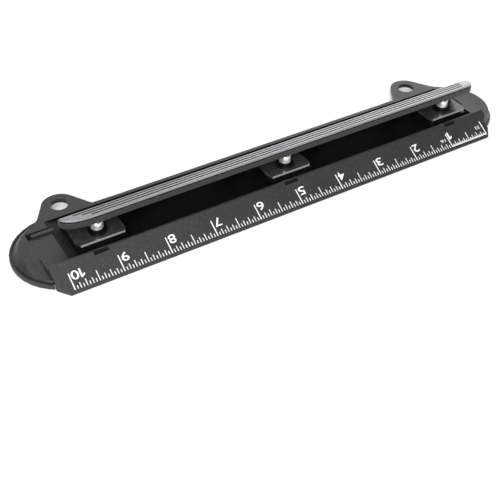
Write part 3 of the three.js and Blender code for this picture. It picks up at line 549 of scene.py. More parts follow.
@dataclass(frozen=True)
class MouldedPlastic:
    """Satin moulded plastic with a fine grain, rubbed edges and a little dust."""

    name: str
    colour: tuple[float, float, float]
    rubbed: tuple[float, float, float]
    roughness: tuple[float, float]
    grain_scale: float = 3200.0
    grain_depth: float = 0.00004
    dust: float = 0.1
    gloss: float = 0.5

    def build(self, effects: SharedEffects) -> bpy.types.Material:
        """Builds the material from the shared effects."""
        maker = MaterialBuilder(self.name)
        grain = maker.group(effects.grain, Fine_Scale=self.grain_scale)
        wear = maker.group(effects.edge_wear)
        dust = maker.group(effects.dust, Amount=self.dust)
        cloudy = tuple(part * 1.25 for part in self.colour)
        body = maker.blend(maker.spread(grain.outputs["Shade"], 0.0, 1.0), self.colour, cloudy)
        worn = maker.blend(maker.spread(wear.outputs["Mask"], 0.0, 0.8), body, self.rubbed)
        dusty = maker.blend(dust.outputs["Mask"], worn, (0.32, 0.31, 0.3))
        maker.link(dusty, maker.shader.inputs["Base Color"])
        rough = maker.spread(grain.outputs["Shade"], *self.roughness)
        rough = maker.lessen(rough, wear.outputs["Mask"], 0.12)
        maker.link(rough, maker.shader.inputs["Roughness"])
        maker.shader.inputs["IOR"].default_value = 1.48
        maker.shader.inputs["Specular IOR Level"].default_value = self.gloss
        maker.bump(grain.outputs["Height"], self.grain_depth, 0.6)
        return maker.material


@dataclass(frozen=True)
class DrawnMetal:
    """Bare metal with fine lines along its length."""

    name: str
    colour: tuple[float, float, float]
    shade: tuple[float, float, float]
    roughness: tuple[float, float]
    line_scale: float = 2600.0
    line_depth: float = 0.00001
    dust: float = 0.05
    metal: float = 1.0

    def build(self, effects: SharedEffects) -> bpy.types.Material:
        """Builds the material from the shared effects."""
        maker = MaterialBuilder(self.name)
        lines = maker.group(effects.drawn_lines, Line_Scale=self.line_scale)
        wear = maker.group(effects.edge_wear, Radius=0.0002)
        dust = maker.group(effects.dust, Amount=self.dust)
        body = maker.blend(maker.spread(lines.outputs["Height"], 0.0, 1.0), self.shade, self.colour)
        body = maker.blend(dust.outputs["Mask"], body, (0.3, 0.3, 0.29))
        maker.link(body, maker.shader.inputs["Base Color"])
        maker.shader.inputs["Metallic"].default_value = self.metal
        rough = maker.spread(lines.outputs["Shade"], *self.roughness)
        rough = maker.lessen(rough, wear.outputs["Mask"], 0.08)
        maker.link(rough, maker.shader.inputs["Roughness"])
        maker.bump(lines.outputs["Height"], self.line_depth, 0.5)
        return maker.material


@dataclass(frozen=True)
class BlackOxide:
    """Blackened sheet steel: dark, half glossy, brighter where its edges are rubbed."""

    name: str
    colour: tuple[float, float, float]
    bare: tuple[float, float, float]
    roughness: tuple[float, float]

    def build(self, effects: SharedEffects) -> bpy.types.Material:
        """Builds the material from the shared effects."""
        maker = MaterialBuilder(self.name)
        grain = maker.group(effects.grain, Fine_Scale=1400.0, Cloud_Scale=260.0)
        wear = maker.group(effects.edge_wear, Radius=0.0003, Breakup_Scale=260.0)
        lighter = tuple(part * 1.6 for part in self.colour)
        body = maker.blend(maker.spread(grain.outputs["Shade"], 0.0, 1.0), self.colour, lighter)
        body = maker.blend(wear.outputs["Mask"], body, self.bare)
        maker.link(body, maker.shader.inputs["Base Color"])
        maker.shader.inputs["Metallic"].default_value = 0.4
        maker.link(maker.spread(grain.outputs["Shade"], *self.roughness), maker.shader.inputs["Roughness"])
        maker.bump(grain.outputs["Height"], 0.00003, 0.4)
        return maker.material


@dataclass(frozen=True)
class ScreenPrint:
    """White ink with thin, slightly uneven cover."""

    name: str
    colour: tuple[float, float, float]

    def build(self, effects: SharedEffects) -> bpy.types.Material:
        """Builds the material from the shared effects."""
        maker = MaterialBuilder(self.name)
        grain = maker.group(effects.grain, Fine_Scale=2400.0, Cloud_Scale=500.0)
        thin = tuple(part * 0.8 for part in self.colour)
        body = maker.blend(maker.spread(grain.outputs["Shade"], 0.0, 1.0), self.colour, thin)
        maker.link(body, maker.shader.inputs["Base Color"])
        maker.link(maker.spread(grain.outputs["Height"], 0.5, 0.65), maker.shader.inputs["Roughness"])
        maker.bump(grain.outputs["Height"], 0.00002, 0.3)
        return maker.material


@dataclass(frozen=True)
class Finishes:
    """Every material of the punch."""

    black_plastic: bpy.types.Material
    trough_plastic: bpy.types.Material
    ramp_plastic: bpy.types.Material
    lever_plastic: bpy.types.Material
    tray_plastic: bpy.types.Material
    grip_metal: bpy.types.Material
    polished_steel: bpy.types.Material
    dark_steel: bpy.types.Material
    oiled_steel: bpy.types.Material
    spring_steel: bpy.types.Material
    spring_wire: bpy.types.Material
    sheared_edge: bpy.types.Material
    white_print: bpy.types.Material

    @classmethod
    def build(cls) -> "Finishes":
        """Builds the shared effects and every finish."""
        effects = SharedEffects.build()
        return cls(
            black_plastic=MouldedPlastic(
                "satin black moulding", (0.015, 0.015, 0.016), (0.06, 0.06, 0.062), (0.38, 0.5)
            ).build(effects),
            # Painted shade: a near-black finish for the trough faces, darker than the same black plastic
            # elsewhere.
            trough_plastic=MouldedPlastic(
                "painted trough shade",
                (0.003, 0.003, 0.003),
                (0.006, 0.006, 0.006),
                (0.8, 0.95),
                dust=0.0,
                gloss=0.06,
            ).build(effects),
            # Painted shade: a dark finish for the ramp, between the deck and the painted trough shade.
            ramp_plastic=MouldedPlastic(
                "painted ramp shade",
                (0.007, 0.007, 0.0075),
                (0.02, 0.02, 0.021),
                (0.6, 0.75),
                dust=0.0,
                gloss=0.25,
            ).build(effects),
            lever_plastic=MouldedPlastic(
                "smooth black lever moulding",
                (0.015, 0.015, 0.016),
                (0.06, 0.06, 0.062),
                (0.3, 0.4),
                4200.0,
                0.00002,
            ).build(effects),
            tray_plastic=MouldedPlastic(
                "soft black tray moulding", (0.018, 0.018, 0.019), (0.06, 0.06, 0.062), (0.45, 0.58)
            ).build(effects),
            grip_metal=DrawnMetal(
                "satin grip strip", (0.38, 0.38, 0.39), (0.29, 0.29, 0.3), (0.28, 0.4)
            ).build(effects),
            polished_steel=DrawnMetal(
                "ground punch steel",
                (0.85, 0.85, 0.86),
                (0.72, 0.73, 0.74),
                (0.18, 0.28),
                3000.0,
                0.000004,
                metal=0.7,
            ).build(effects),
            dark_steel=BlackOxide(
                "black oxide sheet", (0.045, 0.045, 0.048), (0.42, 0.42, 0.43), (0.2, 0.32)
            ).build(effects),
            # Painted shade: near-black steel for the die plates, the grip's groove floors, the ring round
            # each pin and the pins' lower parts.
            oiled_steel=BlackOxide(
                "black steel with painted shade", (0.006, 0.006, 0.0065), (0.03, 0.03, 0.03), (0.3, 0.42)
            ).build(effects),
            spring_wire=DrawnMetal(
                "blackened spring wire", (0.05, 0.05, 0.052), (0.03, 0.03, 0.031), (0.3, 0.42)
            ).build(effects),
            spring_steel=DrawnMetal(
                "plain spring wire", (0.55, 0.55, 0.57), (0.4, 0.4, 0.42), (0.24, 0.34)
            ).build(effects),
            # Painted highlight: a light grey finish for the guide frames' front edges.
            sheared_edge=DrawnMetal(
                "grey painted edge highlight", (0.42, 0.42, 0.43), (0.3, 0.3, 0.31), (0.35, 0.45), metal=0.3
            ).build(effects),
            white_print=ScreenPrint("white ruler ink", (0.86, 0.86, 0.85)).build(effects),
        )


@dataclass
class BaseMoulding:
    """The base with its lobes, ruler strip, trough and ears, and the snap-on chip tray under it."""

    finishes: Finishes
    edge_width: float = 0.4
    tray_edge_width: float = 0.45
    trough_front: float = 15.15
    trough_back: float = 51.75
    trough_reach: float = 121.0
    floor_reach: float = 119.0
    floor_low: float = 3.0
    floor_high: float = 5.3
    pedestal_face: float = 6.5
    pedestal_top: float = 7.0
    ramp_foot_x: float = -112.0
    ramp_head_x: float = -131.0
    ramp_top: float = 7.2

    def shell(self) -> bpy.types.Object:
        """The base moulding with every edge rounded, and painted shade in its trough and on the ramp at the
        trough's left end.
        """
        piece = cad_copy("base_frame", "base_moulding")
        soften(piece, self.edge_width, 2)
        settle(piece, Body.BASE, Slot.BLACK_PLASTIC, self.finishes.black_plastic, "base_frame")
        # Painted shade: the trough floor, walls and pedestals get the near-black finish.
        repaint(piece, self.finishes.trough_plastic, self._in_trough)
        # Painted shade: the ramp at the trough's left end gets a darker finish.
        repaint(piece, self.finishes.ramp_plastic, self._on_ramp)
        return piece

    def _on_ramp(self, middle: Vector, normal: Vector) -> bool:
        """Whether a face of the base is the ramp at the trough's left end, which gets painted shade."""
        across = self.trough_front < middle.y < self.trough_back
        along = self.ramp_head_x < middle.x < self.ramp_foot_x
        return across and along and 0.3 < normal.z < 0.985 and middle.z < self.ramp_top

    def _in_trough(self, middle: Vector, normal: Vector) -> bool:
        """Whether a face of the base lies down in the trough or on a pedestal there, where shade is painted
        in as a near-black finish.
        """
        across = self.trough_front < middle.y < self.trough_back
        if not across or abs(middle.x) > self.trough_reach:
            return False
        if middle.z < self.floor_high:
            return self.floor_low < middle.z and abs(middle.x) < self.floor_reach
        return middle.z < self.pedestal_top and (abs(normal.z) < 0.5 or middle.z > self.pedestal_face)

    def tray(self) -> bpy.types.Object:
        """The chip tray with its bead and latch tongue."""
        piece = cad_copy("chip_tray", "chip_tray_cover")
        soften(piece, self.tray_edge_width, 2)
        return settle(piece, Body.BASE, Slot.TRAY_PLASTIC, self.finishes.tray_plastic, "chip_tray")

    def build(self) -> None:
        """Makes both pieces."""
        self.shell()
        self.tray()


@dataclass
class RulerPrint:
    """The white inch scale on the sloping strip, read from behind, zero at the right."""

    finishes: Finishes
    inch: float = 25.4
    zero_x: float = 123.2
    inches: int = 10
    start_y: float = 1.35
    ink: float = 0.05
    line_width: float = 0.42
    digit_size: float = 4.56
    digit_width: float = 3.8
    digit_y: float = 5.4
    digit_gap: float = 0.5
    digit_weight: float = 0.008
    one_width: float = 2.3
    digit_clearance: float = 1.1
    one_clearance: float = 0.8
    count_height: float = 1.9
    count_weight: float = 0.004
    long_line_share: float = 1.3
    fine_end_y: float = 2.4
    fine_width: float = 0.28
    first_inch_base: float = 0.7
    slope_rise: float = 8.1
    slope_run: float = 14.0
    slope_foot: float = 0.7
    tick_ends: dict[int, float] = field(
        default_factory=lambda: {16: 8.9, 8: 6.1, 4: 4.4, 2: 3.8, 1: 2.9}
    )

    @property
    def tilt(self) -> float:
        """The slope's angle in radians."""
        return math.atan2(self.slope_rise, self.slope_run)

    def on_slope(self, x: float, y: float, lift: float = 0.0) -> Vector:
        """A point on the slope.

        Args:
            x: Distance along the ruler in millimetres.
            y: Distance back from its front edge in millimetres.
            lift: Height off the surface in millimetres.

        Returns:
            The point in the frame.
        """
        z = self.slope_foot + self.slope_rise / self.slope_run * y
        return at(x, y - lift * math.sin(self.tilt), z + lift * math.cos(self.tilt))

    def slope_matrix(self, x: float, y: float) -> Matrix:
        """The place of a mark on the slope: its X along the ruler, its Y up the slope."""
        return Matrix.Translation(self.on_slope(x, y)) @ Matrix.Rotation(self.tilt, 4, "X")

    def tick_tree(self) -> bpy.types.NodeTree:
        """A tree that sets a row of thin bars along X, with named sizes.

        Returns:
            The Geometry Nodes tree.
        """
        tree = bpy.data.node_groups.new("row of ruler lines", "GeometryNodeTree")
        face = tree.interface
        for label, kind in (
            ("Count", "NodeSocketInt"),
            ("Pitch", "NodeSocketFloat"),
            ("Width", "NodeSocketFloat"),
            ("Length", "NodeSocketFloat"),
            ("Ink", "NodeSocketFloat"),
            ("Finish", "NodeSocketMaterial"),
        ):
            face.new_socket(label, in_out="INPUT", socket_type=kind)
        face.new_socket("Geometry", in_out="OUTPUT", socket_type="NodeSocketGeometry")
        nodes, links = tree.nodes, tree.links
        given = nodes.new("NodeGroupInput")
        row = nodes.new("GeometryNodeMeshLine")
        step = nodes.new("ShaderNodeCombineXYZ")
        bar = nodes.new("GeometryNodeMeshCube")
        size = nodes.new("ShaderNodeCombineXYZ")
        shift = nodes.new("GeometryNodeTransform")
        half = nodes.new("ShaderNodeMath")
        half.operation = "MULTIPLY"
        half.inputs[1].default_value = 0.5
        offset = nodes.new("ShaderNodeCombineXYZ")
        repeat = nodes.new("GeometryNodeInstanceOnPoints")
        realise = nodes.new("GeometryNodeRealizeInstances")
        paint = nodes.new("GeometryNodeSetMaterial")
        result = nodes.new("NodeGroupOutput")
        links.new(given.outputs["Count"], row.inputs["Count"])
        links.new(given.outputs["Pitch"], step.inputs["X"])
        links.new(step.outputs[0], row.inputs["Offset"])
        links.new(given.outputs["Width"], size.inputs["X"])
        links.new(given.outputs["Length"], size.inputs["Y"])
        links.new(given.outputs["Ink"], size.inputs["Z"])
        links.new(size.outputs[0], bar.inputs["Size"])
        links.new(given.outputs["Length"], half.inputs[0])
        links.new(half.outputs[0], offset.inputs["Y"])
        links.new(bar.outputs["Mesh"], shift.inputs["Geometry"])
        links.new(offset.outputs[0], shift.inputs["Translation"])
        links.new(row.outputs["Mesh"], repeat.inputs["Points"])
        links.new(shift.outputs["Geometry"], repeat.inputs["Instance"])
        links.new(repeat.outputs["Instances"], realise.inputs["Geometry"])
        links.new(realise.outputs["Geometry"], paint.inputs["Geometry"])
        links.new(given.outputs["Finish"], paint.inputs["Material"])
        links.new(paint.outputs["Geometry"], result.inputs["Geometry"])
        return tree

    def tick_row(
        self,
        tree: bpy.types.NodeTree,
        name: str,
        first_x: float,
        count: int,
        pitch: float,
        end_y: float,
        width: float,
    ) -> bpy.types.Object:
        """One row of equal lines, set with the tree.

        Args:
            tree: The tree from tick_tree.
            name: The piece's name.
            first_x: The first line's place in millimetres.
            count: How many lines.
            pitch: The step to the next line, in millimetres.
            end_y: How far back the lines reach.
            width: The lines' width.

        Returns:
            The row as a plain mesh.
        """
        length = (end_y - self.start_y) / math.cos(self.tilt)
        row = link(name, bpy.data.meshes.new(name))
        mark = row.modifiers.new("lines", "NODES")
        mark.node_group = tree
        values = {
            "Count": count,
            "Pitch": pitch * MM,
            "Width": width * MM,
            "Length": length * MM,
            "Ink": self.ink * 2 * MM,
            "Finish": self.finishes.white_print,
        }
        for item in tree.interface.items_tree:
            if item.in_out == "INPUT":
                mark[item.identifier] = values[item.name]
        plain_mesh(row)
        row.data.transform(self.slope_matrix(first_x, self.start_y))
        return row

    def ticks(self) -> list[bpy.types.Object]:
        """Every line of the scale: sixteenths, and thirty-seconds in the first inch."""
        tree = self.tick_tree()
        rows = []
        sixteenth = self.inch / 16
        for level, end_y in self.tick_ends.items():
            pitch = sixteenth * level
            first = self.zero_x if level == 16 else self.zero_x - pitch
            count = self.inches + 1 if level == 16 else self.inches * 16 // (2 * level)
            step = pitch if level == 16 else 2 * pitch
            width = self.line_width * (self.long_line_share if level == 16 else 1.0)
            rows.append(self.tick_row(tree, f"ruler_lines_{level}", first, count, -step, end_y, width))
        fine = self.inch / 32
        fine_x, fine_step = self.zero_x - fine, -2 * fine
        rows.append(
            self.tick_row(tree, "ruler_lines_fine", fine_x, 16, fine_step, self.fine_end_y, self.fine_width)
        )
        base_x, base_end = self.zero_x - self.inch / 2, self.start_y + self.first_inch_base
        rows.append(self.tick_row(tree, "ruler_first_inch_base", base_x, 1, 0.0, base_end, self.inch))
        return rows

    def numeral(
        self, text: str, right_x: float, low_y: float, size: tuple[float, float], weight: float
    ) -> bpy.types.Object:
        """A number lying on the slope with its top towards the front edge.

        Args:
            text: The number.
            right_x: Where its first digit starts, in millimetres along the ruler.
            low_y: The front end of the number, in millimetres from the edge.
            size: Its width and its height along the slope, in millimetres.
            weight: How far the strokes are thickened, as a share of the height.

        Returns:
            The number as a plain mesh in the frame.
        """
        name = f"ruler_number_{text}"
        while name in bpy.data.objects:
            name += "_b"
        turn = self.slope_matrix(right_x, low_y) @ Matrix.Rotation(math.pi, 4, "Z")
        if text == "1":
            mesh = self._figure_one(size)
            mesh.transform(turn)
            return link(name, mesh)
        curve = bpy.data.curves.new(f"number {text}", "FONT")
        curve.body = text
        curve.size = 1.0
        curve.offset = weight
        curve.extrude = 0.02
        curve.resolution_u = 6
        letters = bpy.data.objects.new(f"number {text}", curve)
        bpy.context.scene.collection.objects.link(letters)
        graph = bpy.context.evaluated_depsgraph_get()
        graph.update()
        mesh = bpy.data.meshes.new_from_object(letters.evaluated_get(graph))
        bpy.data.objects.remove(letters)
        xs = [vertex.co.x for vertex in mesh.vertices]
        ys = [vertex.co.y for vertex in mesh.vertices]
        wide, tall = size[0] / (max(xs) - min(xs)), size[1] / (max(ys) - min(ys))
        flat = Matrix.Diagonal((wide * MM, tall * MM, self.ink * 50 * MM, 1.0))
        mesh.transform(flat @ Matrix.Translation((-min(xs), -max(ys), 0.0)))
        mesh.transform(turn)
        return link(name, mesh)

    def _figure_one(self, size: tuple[float, float]) -> bpy.types.Mesh:
        """A plain figure one with a slanting flag, its top edge on the X axis.

        Args:
            size: Its width and height in millimetres.

        Returns:
            The mesh, as thick as the ink.
        """
        outline_shares = [
            (0.58, -1.0),
            (1.0, -1.0),
            (1.0, 0.0),
            (0.68, 0.0),
            (0.0, -0.24),
            (0.0, -0.44),
            (0.58, -0.24),
        ]
        wide, tall, ink = size[0] * MM, size[1] * MM, self.ink * MM
        rings = [[Vector((x * wide, y * tall, z)) for x, y in outline_shares] for z in (-ink, ink)]
        return sweep_rings(rings, "figure one")

    def numerals(self) -> list[bpy.types.Object]:
        """The numbers 1 to 10, and the two small counts of parts in an inch."""
        made = []
        wide, narrow = self.digit_width, self.one_width
        for number in range(2, self.inches):
            right_x = self.zero_x - number * self.inch + self.digit_clearance + wide
            size = (wide, self.digit_size)
            made.append(self.numeral(str(number), right_x, self.digit_y, size, self.digit_weight))
        ten_x = self.zero_x - self.inches * self.inch + self.one_clearance
        for text, right_x, width in (
            ("1", self.zero_x - self.inch + self.one_clearance + narrow, narrow),
            ("0", ten_x + wide, wide),
            ("1", ten_x + wide + self.digit_gap + narrow, narrow),
        ):
            size = (width, self.digit_size)
            made.append(self.numeral(text, right_x, self.digit_y, size, self.digit_weight))
        for text, right_x, low_y, width in (
            ("32", self.zero_x - 1.7, 5.4, 3.4),
            ("16", self.zero_x - self.inch - 2.1, 5.0, 3.2),
        ):
            size = (width, self.count_height)
            made.append(self.numeral(text, right_x, low_y, size, self.count_weight))
        return made

    def build(self) -> bpy.types.Object:
        """Joins every mark into one printed piece."""
        marks = self.ticks() + self.numerals()
        work = bmesh.new()
        for mark in marks:
            work.from_mesh(mark.data)
            bpy.data.objects.remove(mark)
        mesh = bpy.data.meshes.new("ruler_scale_print")
        work.to_mesh(mesh)
        work.free()
        piece = link("ruler_scale_print", mesh)
        return settle(piece, Body.BASE, None, self.finishes.white_print)


@dataclass
class PressLever:
    """The long lever with its grooved metal grip."""

    finishes: Finishes
    edge_width: float = 0.45
    grip_round: float = 0.75
    groove_round: float = 0.12
    groove_band: float = 2.2
    groove_reach: float = 116.0

    def beam(self) -> bpy.types.Object:
        """The lever moulding."""
        piece = cad_copy("lever_beam", "lever_moulding")
        soften(piece, self.edge_width, 2)
        return settle(piece, Body.LEVER, Slot.BLACK_PLASTIC, self.finishes.lever_plastic, "lever_beam")

    def grip(self) -> bpy.types.Object:
        """The grip strip, well rounded outside and just broken at its grooves, with painted shade on the
        groove floors.
        """
        piece = cad_copy("lever_grip_strip", "lever_grip_cap")
        low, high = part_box("lever_grip_strip")
        work = bmesh.new()
        work.from_mesh(piece.data)
        weight = work.edges.layers.float.new("bevel_weight_edge")
        for edge in work.edges:
            if not edge.is_manifold or edge.calc_face_angle(0.0) < math.radians(34):
                continue
            top = all(abs(vertex.co.z - high.z) < 1e-6 for vertex in edge.verts)
            outer = any(
                abs(face.normal.z) < 0.5 and min(v.co.z for v in face.verts) < low.z + 1e-6
                for face in edge.link_faces
            )
            edge[weight] = 1.0 if top and outer else self.groove_round / self.grip_round
        work.to_mesh(piece.data)
        work.free()
        bevel = piece.modifiers.new("rolled edge", "BEVEL")
        bevel.width = self.grip_round * MM
        bevel.segments = 4
        bevel.limit_method = "WEIGHT"
        bevel.use_clamp_overlap = True
        plain_mesh(piece)
        shade(piece.data, 30.0)
        settle(piece, Body.LEVER, Slot.GRIP_METAL, self.finishes.grip_metal, "lever_grip_strip")
        groove_top = high.z / MM - self.groove_round
        centre_y = (low.y + high.y) / 2 / MM + RULER_EDGE_SETBACK
        # Painted shade: the groove floors and walls get the near-black steel.
        repaint(
            piece,
            self.finishes.oiled_steel,
            lambda middle, normal: (
                normal.z > -0.5
                and middle.z < groove_top
                and abs(middle.y - centre_y) < self.groove_band
                and abs(middle.x) < self.groove_reach
            ),
        )
        return piece

    def build(self) -> None:
        """Makes both pieces."""
        self.beam()
        self.grip()


@dataclass
class PunchStation:
    """One die plate, guide frame, pin, lift fork and pair of rivets."""

    finishes: Finishes
    name: str
    x: float
    pin_body: Body
    pin_radius: float = 3.175
    pin_foot: float = 9.9
    pin_shoulder: float = 17.4
    bright_from: float = 13.4
    head_height: float = 19.8
    neck_radius: float = 1.8
    head_radius: float = 2.7
    plate_top: float = 10.85
    front_edge_top: float = 10.9
    ring_radius: float = 4.95

    def die(self) -> bpy.types.Object:
        """The die plate under the paper, in the near-black steel that paints it as shade."""
        piece = cad_copy(f"die_plate_{self.name}", f"die_{self.name}")
        soften(piece, 0.12, 2)
        return settle(piece, Body.BASE, Slot.DARK_STEEL, self.finishes.oiled_steel, f"die_plate_{self.name}")

    def guide(self) -> bpy.types.Object:
        """The folded guide frame with its drawn collar, a painted highlight on its front edge and painted
        shade in the ring round the pin.
        """
        piece = cad_copy(f"guide_frame_{self.name}", f"guide_{self.name}")
        soften(piece, 0.16, 2)
        settle(piece, Body.BASE, Slot.DARK_STEEL, self.finishes.dark_steel, f"guide_frame_{self.name}")
        # Painted highlight: the front-facing edge faces are light grey.
        repaint(piece, self.finishes.sheared_edge, self._on_front_edge)
        # Painted shade: the collar ring round the pin is near black.
        repaint(piece, self.finishes.oiled_steel, self._round_the_pin)
        return piece

    def _on_front_edge(self, middle: Vector, normal: Vector) -> bool:
        """Whether a face of the guide frame is its front edge, painted light grey as a highlight."""
        return normal.y < -0.5 and middle.z < self.front_edge_top

    def _round_the_pin(self, middle: Vector, _: Vector) -> bool:
        """Whether a face of the guide frame lies on top of it, in the ring round the pin, which is painted
        near black as shade.
        """
        away = math.hypot(middle.x - self.x, middle.y - PIN_Y)
        return away < self.ring_radius and middle.z > self.plate_top

    def fork(self) -> bpy.types.Object:
        """The fork that lifts the pin by its neck."""
        piece = cad_copy(f"lift_fork_{self.name}", f"fork_{self.name}")
        soften(piece, 0.1, 2)
        return settle(piece, Body.LEVER, Slot.DARK_STEEL, self.finishes.dark_steel, f"lift_fork_{self.name}")

    def pin(self) -> bpy.types.Object:
        """The ground pin with its hollow cutting end, chamfered shoulder and mushroom head, painted near
        black on its lower part as the dark plate's reflection.
        """
        radius, neck, head = self.pin_radius, self.neck_radius, self.head_radius
        foot, shoulder, top = self.pin_foot, self.pin_shoulder, self.head_height + 1.0
        profile = [
            (0.0, foot + 1.1),
            (radius - 1.5, foot + 0.95),
            (radius - 0.35, foot + 0.12),
            (radius - 0.12, foot),
            (radius, foot + 0.08),
            (radius, foot + 0.3),
            (radius, self.bright_from),
            (radius, shoulder - 2.2),
            (radius, shoulder - 0.5),
            (radius - 0.06, shoulder - 0.32),
            (radius - 0.34, shoulder - 0.05),
            (radius - 0.5, shoulder),
            (neck + 0.18, shoulder),
            (neck, shoulder + 0.16),
            (neck, self.head_height - 0.14),
            (neck + 0.14, self.head_height),
            (head - 0.12, self.head_height),
            (head, self.head_height + 0.12),
            (head, top - 0.45),
            (head - 0.3, top - 0.14),
            (head - 0.7, top),
            (0.0, top),
        ]
        mesh = lathe(profile, (self.x, PIN_Y), 64, f"pin_{self.name}_turned")
        shade(mesh, 34.0)
        piece = link(f"pin_{self.name}_turned", mesh)
        node = f"punch_pin_{self.name}"
        settle(piece, self.pin_body, Slot.POLISHED_STEEL, self.finishes.polished_steel, node)
        # Painted reflection: the pin below its bright part is near black, as the dark plate reflected in it.
        repaint(piece, self.finishes.oiled_steel, lambda middle, _: middle.z < self.bright_from)
        return piece

    def rivets(self) -> bpy.types.Object:
        """Both rivets with domed heads, as one piece."""
        work = bmesh.new()
        nodes = []
        for side in SIDE_NAMES:
            node = f"frame_rivet_{self.name}_{side}"
            nodes.append(node)
            low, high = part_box(node)
            seat = (high.z - 0.001) / MM
            foot = low.z / MM
            profile = [(0.0, foot), (0.85, foot), (1.0, foot + 0.15), (1.0, seat), (1.55, seat)]
            for i in range(7):
                turn = math.pi / 2 * i / 6
                profile.append((1.7 * math.cos(turn), seat + 0.12 + 0.88 * math.sin(turn)))
            profile[-1] = (0.0, seat + 1.0)
            middle = (low + high) / 2 / MM
            centre = (middle.x - MIDDLE_PUNCH_X, middle.y + RULER_EDGE_SETBACK)
            mesh = lathe(profile, centre, 32, node)
            work.from_mesh(mesh)
            bpy.data.meshes.remove(mesh)
        mesh = bpy.data.meshes.new(f"rivets_{self.name}")
        work.to_mesh(mesh)
        work.free()
        shade(mesh, 34.0)
        piece = link(f"rivets_{self.name}", mesh)
        return settle(piece, Body.BASE, Slot.SPRING_STEEL, self.finishes.spring_steel, *nodes)

    def build(self) -> None:
        """Makes every piece of the station."""
        self.die()
        self.guide()
        self.fork()
        self.pin()
        self.rivets()


@dataclass
class HingeLine:
    """The two hinge rods, their clips and the torsion spring wound round each."""

    finishes: Finishes
    coil_radius: float = 2.1
    wire_radius: float = 0.4
    turns: int = 5
    pitch: float = 1.6
    low_reach: float = 4.4
    high_reach: float = 8.0
    leg_bend_start: float = 0.27
    leg_bend_end: float = 0.6
    floor_top: float = 3.9
    seat_gap: float = 0.3
    lever_wall: float = 1.3
    crest_y: float = 28.0
    lever_top: float = 22.7
    knuckle_radius: float = 2.4
    spring_x: float = 67.8625
    steps_a_turn: int = 40
    wire_sides: int = 12

    def web_height(self, y: float) -> float:
        """The height of the lever's sloping web at a distance from the ruler's edge."""
        drop = self.lever_top - HINGE_Z - self.knuckle_radius
        return self.lever_top - drop * (y - self.crest_y) / (HINGE_Y - self.crest_y)

    def tangent_angle(self, y: float, z: float, turn_sign: int) -> float:
        """Where a straight leg from a point leaves the coil.

        Args:
            y: The point's distance from the ruler's edge.
            z: Its height.
            turn_sign: Which of the two tangents.

        Returns:
            The angle round the hinge line in radians.
        """
        reach = math.hypot(y - HINGE_Y, z - HINGE_Z)
        heading = math.atan2(z - HINGE_Z, y - HINGE_Y)
        return heading + turn_sign * math.acos(self.coil_radius / reach)

    def route(self, centre_x: float) -> list[Vector]:
        """The wire's middle line, in millimetres from the ruler's edge.

        Args:
            centre_x: The coil's middle along the ruler.

        Returns:
            The points from the leg on the trough floor to the leg under the lever.
        """
        wire = 2 * self.wire_radius
        low_y, high_y = HINGE_Y - self.low_reach, HINGE_Y - self.high_reach
        low_z = self.floor_top + self.seat_gap
        high_z = self.web_height(high_y) - 2 * self.lever_wall
        start_x = centre_x - self.turns * self.pitch / 2
        start = self.tangent_angle(low_y, low_z + wire, -1)
        stop = self.tangent_angle(high_y, high_z - wire, 1)
        sweep = math.fmod(start - stop, 2 * math.pi) + 2 * math.pi * self.turns
        steps = math.ceil(sweep / (2 * math.pi) * self.steps_a_turn)
        points = [Vector((start_x, low_y, low_z)), Vector((start_x, low_y, low_z + wire))]
        for step in range(steps + 1):
            turn = sweep * step / steps
            points.append(
                Vector(
                    (
                        start_x + self.pitch * turn / (2 * math.pi),
                        HINGE_Y + self.coil_radius * math.cos(start - turn),
                        HINGE_Z + self.coil_radius * math.sin(start - turn),
                    )
                )
            )
        end_x = points[-1].x
        points += [Vector((end_x, high_y, high_z - wire)), Vector((end_x, high_y, high_z))]
        return points

    def spring(self, name: str, centre_x: float) -> bpy.types.Object:
        """One spring of round wire.

        Args:
            name: Its side.
            centre_x: The coil's middle along the ruler in millimetres.

        Returns:
            The spring's piece.
        """
        points = self.route(centre_x)
        along = Vector((1.0, 0.0, 0.0))
        rings = []
        for i, point in enumerate(points):
            tangent = (points[min(i + 1, len(points) - 1)] - points[max(i - 1, 0)]).normalized()
            across = (along - tangent * along.dot(tangent)).normalized()
            third = tangent.cross(across)
            ring = []
            for side in range(self.wire_sides):
                angle = 2 * math.pi * side / self.wire_sides
                offset = across * math.cos(angle) + third * math.sin(angle)
                ring.append(at(*(point + offset * self.wire_radius)))
            rings.append(ring)
        mesh = sweep_rings(rings, f"spring_{name}_wire")
        shade(mesh, 50.0)
        piece = link(f"spring_{name}_wire", mesh)
        piece.data.materials.append(self.finishes.spring_wire)
        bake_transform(piece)
        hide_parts(f"lever_spring_{name}")
        LOG.info("%s: %d faces, its high leg follows the lever", piece.name, len(mesh.polygons))
        return piece

    def rod(self, side: str) -> bpy.types.Object:
        """One hinge rod with chamfered ends and clip grooves."""
        piece = cad_copy(f"hinge_rod_{side}", f"rod_{side}_ground")
        soften(piece, 0.15, 2, 50.0)
        return settle(
            piece, Body.BASE, Slot.SPRING_STEEL, self.finishes.spring_steel, f"hinge_rod_{side}"
        )

    def clip(self, side: str, end: str) -> bpy.types.Object:
        """The retaining clip on one end of a rod."""
        node = f"rod_clip_{side}_{end}"
        piece = cad_copy(node, f"clip_{side}_{end}")
        soften(piece, 0.1, 2, 40.0)
        return settle(piece, Body.BASE, Slot.SPRING_STEEL, self.finishes.spring_steel, node)

    def build(self) -> None:
        """Makes the rods, clips and springs."""
        for side, sign in zip(SIDE_NAMES, (-1, 1)):
            self.rod(side)
            for end in ("inner", "outer"):
                self.clip(side, end)
            self.spring(side, sign * self.spring_x)


